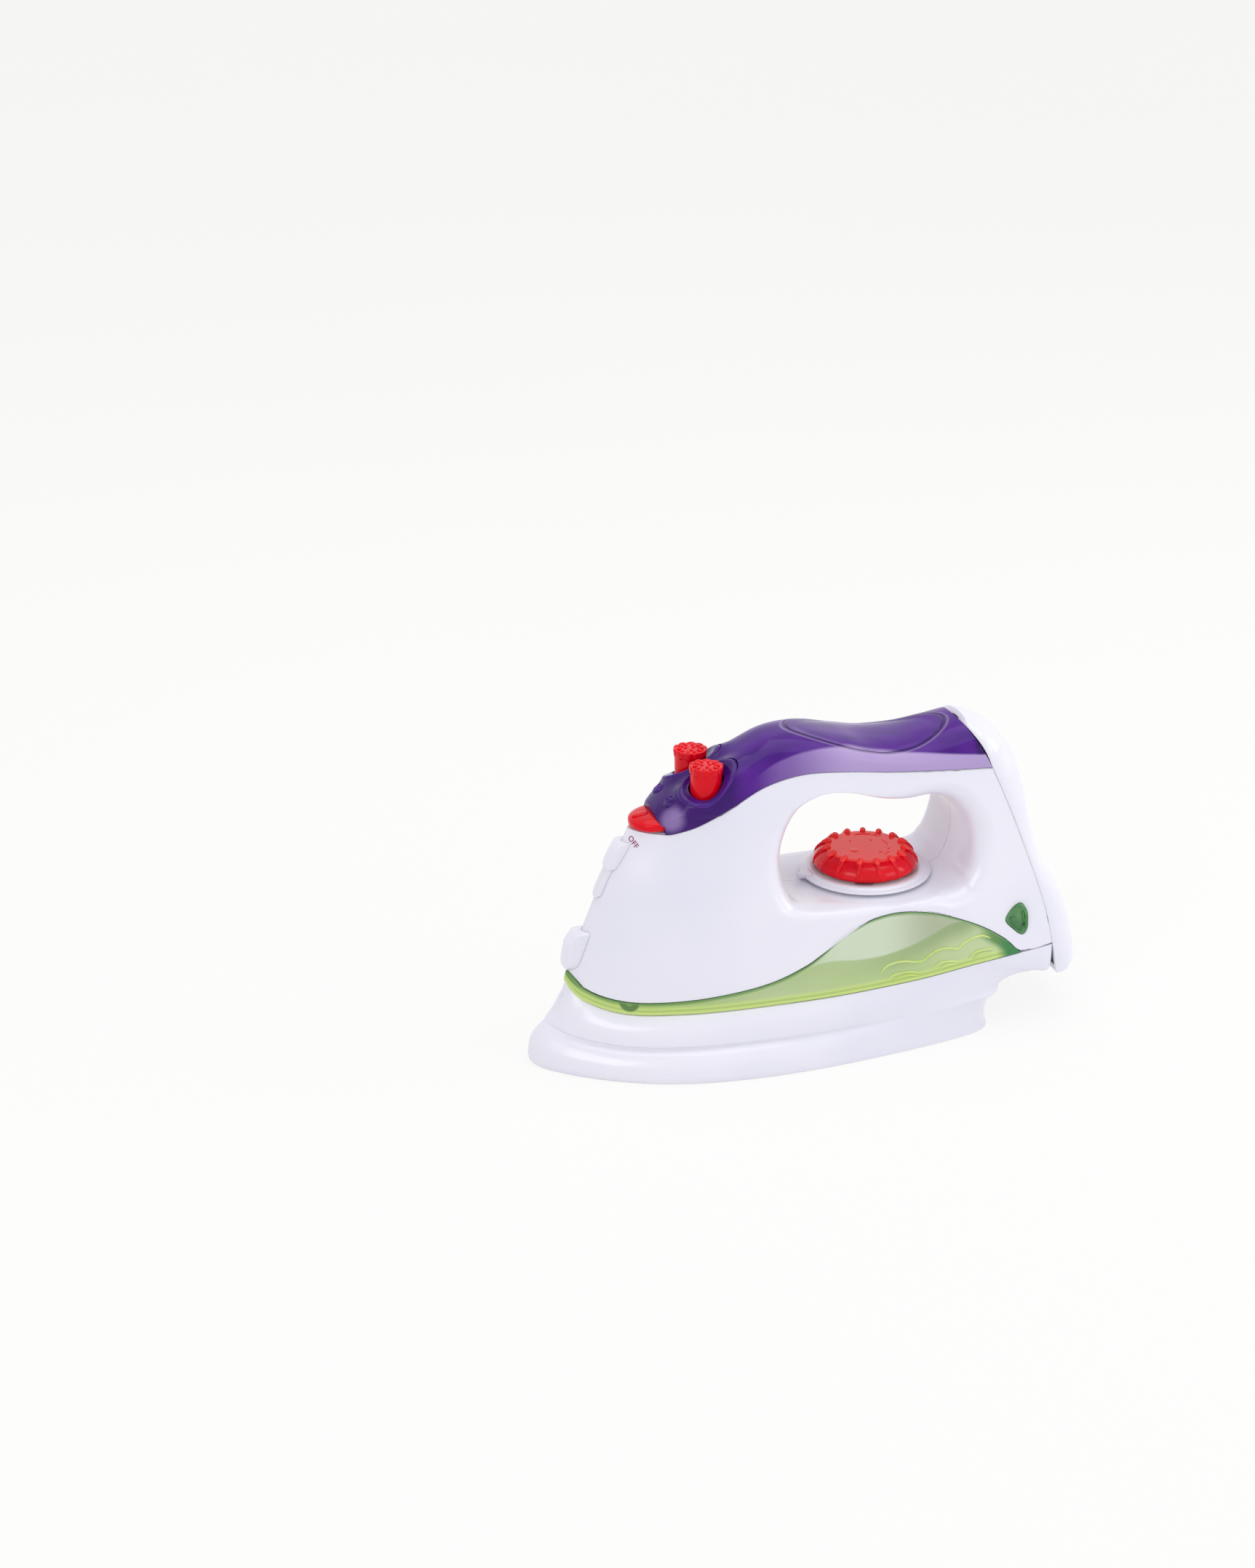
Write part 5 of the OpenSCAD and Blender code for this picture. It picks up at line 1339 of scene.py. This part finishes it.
@dataclass(frozen=True)
class DialSet:
    """The heat dial: a ribbed dome with a flat marked top, on its white bezel."""

    radius: float = 18.25
    height: float = 8.0
    foot: float = 58.096
    ribs: int = 15
    bezel_radius: float = 23.0
    bezel_low: float = 55.896
    bezel_high: float = 57.796
    profile: Table = ((0.9, 0.0), (0.965, 0.02), (0.99, 0.07), (1.0, 0.14), (1.0, 0.22), (0.992, 0.3),
                      (0.975, 0.39), (0.95, 0.47), (0.918, 0.55), (0.882, 0.62), (0.845, 0.68), (0.81, 0.73), (0.782, 0.762),
                      (0.766, 0.785), (0.758, 0.805), (0.748, 0.822), (0.73, 0.83), (0.7, 0.832), (0.5, 0.836),
                      (0.3, 0.84), (0.1, 0.842))
    marks: tuple[tuple[float, ...], ...] = ((10.6, 38, 92, 0.45), (8.2, -40, 25, 0.38), (7.4, -74, -58, 0.3),
                                            (9.4, -68, -50, 0.24), (6.6, 120, 128, 0.34), (5.4, 42, 52, 0.34))

    def top(self, share: float) -> float:
        """The dome's height at a share of its radius, in millimetres."""
        pairs = sorted((r, z) for r, z in self.profile[4:])
        return self.foot + self.height * float(np.interp(share, [p[0] for p in pairs], [p[1] for p in pairs]))

    def dome(self) -> Piece:
        """Makes the dome."""
        rings = [(r * self.radius, z * self.height) for r, z in self.profile]
        return turned("dome", rings, (SPOTS.dial[0], 0, self.foot), 144)

    def rib(self) -> Piece:
        """Makes one grip rib, down the dome's side."""
        line = [(s, self.top(s) + (0.35 if 0.7 < s < 0.82 else -0.1)) for s in spread(0.685, 0.992, 15)[:-1]]
        line += [(0.993, self.foot + 1.4), (0.975, self.foot + 0.4)]
        path = [(SPOTS.dial[0] + s * self.radius, 0.0, z) for s, z in line]
        radii = [0.5, 0.9, 1.05, 1.08, 1.05] + [0.98] * 4 + [0.9, 0.84, 0.78, 0.72, 0.66, 0.55, 0.3]
        return finished(bead("rib", path, radii, 12, 1.0, (0, 1, 0)), "SMOOTH", factor=0.3, iterations=1)

    def mark(self, radius: float, start: float, end: float, size: float) -> Piece:
        """Makes a raised arc on the top face."""
        n = max(6, int(abs(end - start) / 4))
        turns = [math.radians(a) for a in spread(start, end, n)]
        level = self.top(radius / self.radius) + 0.02
        path = [(SPOTS.dial[0] + radius * math.cos(t), radius * math.sin(t), level) for t in turns]
        return bead("mark", path, [size * (0.3 if i in (0, n - 1) else 1.0) for i in range(n)], 8, 0.8)

    def knob(self) -> Piece:
        """Makes the whole dial."""
        first = self.rib()
        middle = Matrix.Translation((SPOTS.dial[0] * MM, 0, 0))
        pieces = [self.dome(), first]
        for i in range(1, self.ribs):
            turn = middle @ Matrix.Rotation(2 * math.pi * i / self.ribs, 4, "Z") @ middle.inverted()
            pieces.append(twin(first, "rib", turn))
        pieces += [self.mark(*mark) for mark in self.marks]
        place = (SPOTS.dial[0] - 5.2, -2.6, self.top(0.3) - 0.05)
        pieces.append(turned("dot", ((1.5, 0), (1.5, 0.12), (1.2, 0.26), (0.5, 0.3)), place, 32))
        return joined("dial_dome", pieces)

    def bezel(self) -> Piece:
        """Makes the bezel ring with its pointer."""
        low, high, r = self.bezel_low, self.bezel_high, self.bezel_radius
        rings = ((r - 0.3, 0), (r, 0.25), (r, 0.7), (r - 0.35, 0.95), (r - 1.1, 1.05), (r - 1.5, 1.2),
                 (r - 1.9, 1.75), (r - 2.4, high - low), (18.9, high - low), (18.5, 1.6), (5.0, 1.6))
        ring = turned("ring", rings, (SPOTS.dial[0], 0, low), 144)
        bare()
        x = SPOTS.dial[0] - r
        bpy.ops.mesh.primitive_cylinder_add(vertices=3, radius=3.6 * MM, depth=(high - low) * MM,
                                            location=(x * MM, 0, (low + high) / 2 * MM))
        wedge = pick(bpy.context.object)
        bpy.ops.object.transform_apply(location=True, rotation=True, scale=True)
        shaped(wedge, lambda p: self.wedge_point(p, x))
        finished(wedge, "BEVEL", width=0.35 * MM, segments=3, limit_method="ANGLE", angle_limit=math.radians(35))
        piece = joined("dial_ring", [ring, wedge])
        return cut(piece, turned("bore", ((3.2, 50), (3.2, 60)), (SPOTS.dial[0], 0, 0), 48))

    def wedge_point(self, p: np.ndarray, x: float) -> Point:
        """Turns the three-sided block so that it points to the nose."""
        tip = p[1] > 3
        return x + (-2.9 if tip else 3.0), 0.0 if tip else math.copysign(3.6, p[0] - x), p[2]


@dataclass(frozen=True)
class PushButton:
    """One push button: a near-straight body, a scalloped crown and raised studs on top."""

    side: Side
    foot: float = 94.36
    low_radius: float = 5.3
    radius: float = 5.9
    scallops: int = 10

    def body(self) -> Piece:
        """Makes the body, its crown drawn into scallops."""
        rings = [(4.9, 0.0), (5.2, 0.1), (5.3, 0.35)]
        rings += [(self.low_radius + 0.12 * u, mix(0.35, 8.0, u)) for u in spread(0, 1, 8)[1:]]
        rings += [(5.42 + 0.26 * u**1.2, mix(8.0, 11.0, u)) for u in spread(0, 1, 26)[1:]]
        rings += [(5.66, 11.25), (5.56, 11.42), (5.36, 11.52), (5.1, 11.52), (4.7, 11.42), (4.0, 11.4),
                  (3.0, 11.44), (2.0, 11.48), (1.0, 11.5)]
        return shaped(turned("body", rings, SPOTS.push(self.side, self.foot), 160), self.scalloped)

    def scalloped(self, p: np.ndarray) -> Point:
        """Draws petals into the crown's side."""
        cx, cy, cz = SPOTS.push(self.side, self.foot)
        dx, dy, up = p[0] - cx, p[1] - cy, p[2] - cz
        r, turn = math.hypot(dx, dy), math.atan2(dy, dx)
        if r < 4.9 or up < 8.2:
            return tuple(p)
        wave = abs(math.cos(turn * self.scallops / 2 + 0.4))
        foot = 10.6 - 1.7 * math.sqrt(max(0.0, wave))
        petal = float(np.clip((up - foot) / 0.3, 0, 1))
        grow = 1 + (0.2 * petal * wave**0.4 - 0.18 * (1 - wave) ** 2 * min(1.0, max(0.0, up - 9.6))) / r
        grow = min(grow, self.radius / r)
        return cx + dx * grow, cy + dy * grow, p[2] + 0.3 * petal * wave * (1 if up > 10.9 else 0)

    def stud(self, radius: float, turn: float, long: float) -> Piece:
        """Makes one raised stud of the top."""
        way = np.array([math.cos(turn), math.sin(turn), 0])
        start = np.array(SPOTS.push(self.side, self.foot + 11.4)) + way * (radius - long / 2)
        path = [start + way * long * u for u in spread(0, 1, 7)]
        return bead("stud", path, [0.3, 0.52, 0.6, 0.62, 0.6, 0.52, 0.3], 10, 1.0)

    def build(self) -> Piece:
        """Makes the button."""
        n, whole = self.scallops, 2 * math.pi
        pieces = [self.body()]
        pieces += [self.stud(3.7, whole * (i + 0.5) / n + 0.1, 1.9) for i in range(n)]
        pieces += [self.stud(1.6, whole * i / 3 + 0.4, 1.3) for i in range(3)]
        return joined("button_" + self.side.name.lower(), pieces)


@dataclass(frozen=True)
class PowerSwitch:
    """The tilted power switch: a domed disc with a leaf-shaped grip."""

    radius: float = 9.6
    height: float = 4.2

    def disc(self) -> Piece:
        """Makes the disc, flat-rimmed and domed, facing up."""
        shares = ((0.93, -0.5), (0.975, -0.45), (1.0, -0.34), (1.0, -0.2), (1.0, -0.06), (0.985, 0.03),
                  (0.96, 0.1), (0.92, 0.16), (0.86, 0.235), (0.78, 0.3), (0.7, 0.345), (0.6, 0.38),
                  (0.45, 0.41), (0.3, 0.43), (0.15, 0.438), (0.03, 0.44))
        return turned("disc", [(r * self.radius, z * self.height) for r, z in shares], (0, 0, 0), 120)

    def leaf(self) -> Piece:
        """Makes the leaf-shaped grip, pointed to the front."""
        bare()
        bpy.ops.mesh.primitive_uv_sphere_add(segments=48, ring_count=24, radius=1 * MM, location=(0, 0, 0))
        leaf = bpy.context.object
        leaf.name = "leaf"
        return shaped(leaf, self.leaf_point)

    def leaf_point(self, p: np.ndarray) -> Point:
        """Draws the round stud out into a leaf."""
        wide = 1.55 * (1 - abs(p[0])) ** 0.12 * (1 + 0.3 * p[0])
        crest = math.copysign(abs(p[2]) ** 0.6, p[2])
        return -5.5 + 3.0 * p[0], p[1] * wide, 1.4 + 0.2 * p[0] + crest * (0.85 - 0.1 * abs(p[1]))

    def build(self) -> Piece:
        """Makes the knob, tilted in its place."""
        return carried(joined("power_disc", [self.disc(), self.leaf()]), SPOTS.tilted())


@dataclass(frozen=True)
class Legend:
    """A word in flat letters laid on the nose by the switch."""

    word: str
    side: Side
    first: tuple[float, float]
    last: tuple[float, float]
    size: float = 2.7
    thick: float = 0.05
    proud: float = 0.12
    depths: tuple[float, float] = (-3.0, 1.0)
    rounds: int = 14

    def build(self) -> Piece:
        """Makes the letters and lays them on the skin."""
        bare()
        bpy.ops.object.text_add(location=(0, 0, 0))
        text = bpy.context.object
        text.data.body = self.word
        text.data.size = self.size * MM
        text.data.extrude = self.thick * MM
        text.data.align_x, text.data.align_y = "CENTER", "CENTER"
        text.data.space_character = 1.05
        bpy.ops.object.convert(target="MESH")
        piece = bpy.context.object
        piece.name = piece.data.name = "legend_" + self.word.lower()
        finished(piece, "TRIANGULATE")
        finished(piece, "WELD", merge_threshold=0.000001)
        a, b = (FORM.skin_point(x, z, self.side, 0.03) for x, z in (self.first, self.last))
        middle = (a + b) / 2
        normal = FORM.normal(middle[0], middle[2], self.side)
        way = Vector(b - a).normalized()
        way = (way - normal * way.dot(normal)).normalized()
        level = Vector(FORM.skin_point(middle[0], middle[2], self.side)) + normal * self.proud
        turn = Matrix((way, normal.cross(way), normal)).transposed().to_4x4()
        carried(piece, Matrix.Translation(level * MM) @ turn)
        return shaped(piece, lambda p: self.laid(p, level, normal))

    def laid(self, p: np.ndarray, level: Vector, normal: Vector) -> Point:
        """Moves a point of a letter along the normal onto the skin, its front a little proud."""
        point = Vector(p)
        height = (point - level).dot(normal)
        flat = point - normal * height
        inner, outer = self.depths
        for _ in range(self.rounds):
            middle = (inner + outer) / 2
            at = flat + normal * middle
            if abs(at.y) > abs(FORM.skin_point(at.x, at.z, self.side)[1]):
                outer = middle
            else:
                inner = middle
        return tuple(flat + normal * (inner + (self.proud if height > 0 else -self.thick)))


# The stage


@dataclass(frozen=True)
class Studio:
    """The pale floor, the soft lights and the camera."""

    target: Point = (-64.41, 0.0, 99.101)
    distance: float = 956.17
    azimuth: float = -17.45
    elevation: float = 22.118
    roll: float = 0.205
    sensor: float = 36
    focal: float = 3891.775 / 2156
    page: tuple[float, ...] = (1.0, 0.995, 0.98, 1)
    surround: tuple[float, ...] = (0.93, 0.93, 1.0, 1)
    strength: float = 0.62
    floor_share: float = 0.82

    def camera(self) -> None:
        """Sets the camera at the photograph's angle."""
        a, e, turn = (math.radians(v) for v in (self.azimuth, self.elevation, self.roll))
        back = Vector((math.sin(a) * math.cos(e), -math.cos(a) * math.cos(e), math.sin(e)))
        right = Vector((math.cos(a), math.sin(a), 0))
        up = back.cross(right)
        right, up = right * math.cos(turn) - up * math.sin(turn), right * math.sin(turn) + up * math.cos(turn)
        place = (Vector(self.target) + back * self.distance) * MM
        bpy.ops.object.camera_add(location=place)
        camera = bpy.context.object
        camera.matrix_world = Matrix.Translation(place) @ Matrix((right, up, back)).transposed().to_4x4()
        camera.data.sensor_fit = "AUTO"
        camera.data.sensor_width = self.sensor
        camera.data.lens = self.focal * self.sensor
        camera.data.clip_start, camera.data.clip_end = 0.05, 30
        bpy.context.scene.camera = camera

    def lamp(self, name: str, place: Point, aim: Point, size: tuple[float, float], power: float,
             tone: Colour = (1, 1, 1)) -> None:
        """Adds a soft lamp."""
        bare()
        bpy.ops.object.light_add(type="AREA", location=place)
        lamp = bpy.context.object
        lamp.name = name
        lamp.data.shape = "RECTANGLE"
        lamp.data.size, lamp.data.size_y = size
        lamp.data.energy = power
        lamp.data.color = tone
        lamp.rotation_euler = (Vector(aim) - Vector(place)).to_track_quat("-Z", "Y").to_euler()

    def lights(self) -> None:
        """Lights the iron from above, from the front left and a little from behind."""
        self.lamp("overhead", (0.1, 0.1, 1.1), (0, 0, 0.05), (1.2, 0.8), 4.2)
        self.lamp("front_left", (-0.9, -0.7, 0.75), (-0.02, 0, 0.06), (0.6, 0.7), 3.4, (0.99, 0.99, 1.0))
        self.lamp("front_right", (0.75, -0.95, 0.5), (0.02, 0, 0.06), (0.45, 0.6), 1.6, (0.98, 0.98, 1.0))
        self.lamp("rear_right", (1.1, -0.2, 0.55), (0.06, 0, 0.06), (0.6, 0.6), 3.0)

    def seen(self, tree: bpy.types.NodeTree) -> Socket:
        """1 where the camera looks at a surface, straight, in a reflection or through clear plastic."""
        path = tree.nodes.new("ShaderNodeLightPath")
        seen = path.outputs["Is Camera Ray"]
        for ray in ("Is Glossy Ray", "Is Transmission Ray"):
            either = tree.nodes.new("ShaderNodeMath")
            either.operation = "MAXIMUM"
            tree.links.new(seen, either.inputs[0])
            tree.links.new(path.outputs[ray], either.inputs[1])
            seen = either.outputs[0]
        return seen

    def world(self) -> None:
        """A pale surround that the camera sees as the page's white."""
        world = bpy.data.worlds.new("surround")
        bpy.context.scene.world = world
        world.use_nodes = True
        tree = world.node_tree
        soft = tree.nodes["Background"]
        soft.inputs["Color"].default_value = self.surround
        soft.inputs["Strength"].default_value = self.strength
        page = tree.nodes.new("ShaderNodeBackground")
        page.inputs["Color"].default_value = self.page
        blend = tree.nodes.new("ShaderNodeMixShader")
        for source, place in zip((self.seen(tree), soft.outputs[0], page.outputs[0]), blend.inputs):
            tree.links.new(source, place)
        tree.links.new(blend.outputs[0], tree.nodes["World Output"].inputs["Surface"])

    def floor(self) -> None:
        """A pale floor that keeps a faint shadow."""
        bare()
        bpy.ops.mesh.primitive_plane_add(size=12, location=(0, 0, -0.0002))
        floor = bpy.context.object
        floor.name = "floor"
        n = Nodes("floor_white")
        tint = n.blend(n.fade(n.noise(0.6, 2.0), 0.3, 0.7), (0.9, 0.9, 0.9), (0.88, 0.88, 0.885))
        n.feed("Base Color", tint)
        n.feed("Roughness", 0.9)
        n.feed("Normal", n.bump(n.noise(0.004), 0.00002))
        page = n.add("ShaderNodeEmission", {"Color": self.page, "Strength": 1.0}).outputs[0]
        share = n.product(self.seen(n.tree), self.floor_share)
        blend = n.add("ShaderNodeMixShader", {0: share, 1: n.shader.outputs[0], 2: page})
        n.tree.links.new(blend.outputs[0], n.tree.nodes["Material Output"].inputs["Surface"])
        floor.data.materials.append(n.material)

    def build(self) -> None:
        """Sets up the stage."""
        scene = bpy.context.scene
        scene.view_settings.view_transform = "Standard"
        self.camera()
        self.lights()
        self.world()
        self.floor()


@dataclass(frozen=True)
class Iron:
    """The whole iron: every sub-assembly, built in order and handed its finish."""

    shop: Workshop
    lid: tuple[Point, ...] = ((69.6, 0.1, 0.8), (69.4, 0.75, 1), (67, 1, 1), (64, 0.85, 1), (61.8, 0.6, 0.95),
                              (61.4, 0.2, 0.75), (60.9, 0.16, 0.72), (54, 0.16, 0.72), (52.8, 0.16, 0.55),
                              (52.2, 0.1, 0.3))
    nozzle: tuple[Point, ...] = ((41.8, 0.1, 0.8), (41.4, 0.62, 1), (40, 0.86, 1), (38.2, 1, 1), (35.2, 0.86, 1),
                                 (32.6, 0.7, 1), (30.8, 0.54, 0.85), (29.9, 0.32, 0.55), (29.5, 0.1, 0.3))

    def body(self) -> None:
        """Builds the white body and the base."""
        for side in Side:
            nodes = [side.hand + "_housing"]
            self.shop.place(Housing(side).build(), Body.IRON, "shell_white", nodes=nodes, angle=32)
        for piece, node in ((RearCover().build(), "rear_cover"), (BaseShell().build(), "base_shell")):
            self.shop.place(piece, Body.IRON, "shell_white", nodes=[node], angle=45)
        for pad, node in ((NosePad("filler_lid_pad", self.lid, 2.2, 7.4), "filler_lid"),
                          (NosePad("spray_nozzle_pad", self.nozzle, 4.3, 8), "spray_nozzle")):
            self.shop.place(pad.build(), Body.IRON, "shell_white", nodes=[node])

    def tank(self) -> None:
        """Builds the clear band, its waves and the lenses."""
        self.shop.place(TankBand().build(), Body.IRON, "band_lime", nodes=["tank_band"])
        for side in Side:
            self.shop.place(TankBand().ridges(side), Body.IRON, "band_lime", "ridge_lime")
            self.shop.place(Window(side).build(), Body.IRON, "lens_green", nodes=[side.hand + "_window"])
            self.shop.place(Window(side).facet(), Body.IRON, "lens_green")

    def handle(self) -> None:
        """Builds the tinted cover, the collars and the push buttons."""
        self.shop.place(HandleCover().build(), Body.IRON, "cover_purple", nodes=["handle_cover"], angle=38)
        for side in Side:
            self.shop.place(HandleCover().dimple(side), Body.IRON, "cover_purple", "collar_purple")
        collars = joined("button_collar_rings", [Collars(side).build() for side in Side])
        self.shop.place(collars, Body.IRON, "cover_purple", "collar_purple", nodes=["button_collars"], angle=50)
        for side, body in ((Side.NEAR, Body.LEFT_PUSH), (Side.FAR, Body.RIGHT_PUSH)):
            nodes = [side.hand + "_button"]
            self.shop.place(PushButton(side).build(), body, "control_red", nodes=nodes, angle=35)

    def controls(self) -> None:
        """Builds the dial, its bezel, the power switch and the legends."""
        self.shop.place(DialSet().bezel(), Body.IRON, "shell_white", nodes=["dial_bezel"])
        self.shop.place(DialSet().knob(), Body.DIAL, "control_red", "dial_red", nodes=["dial"], angle=35)
        self.shop.place(PowerSwitch().build(), Body.POWER, "control_red", nodes=["power_knob"])
        for legend in (Legend("OFF", Side.NEAR, (-64.4, 80.4), (-63.2, 78.2)),
                       Legend("ON", Side.FAR, (-62.5, 78.2), (-63.5, 80.6))):
            self.shop.place(legend.build(), Body.IRON, "control_red", "legend_red")

    def build(self) -> None:
        """Builds everything."""
        self.shop.palette.dress_nodes()
        self.body()
        self.tank()
        self.handle()
        self.controls()
        LOG.info("%d pieces made", self.shop.count)


def main() -> None:
    """Builds the iron and its stage."""
    logging.basicConfig(level=logging.INFO, format="%(name)s: %(message)s")
    bare()
    Iron(Workshop(Palette())).build()
    Studio().build()


if __name__ == "__main__":
    main()
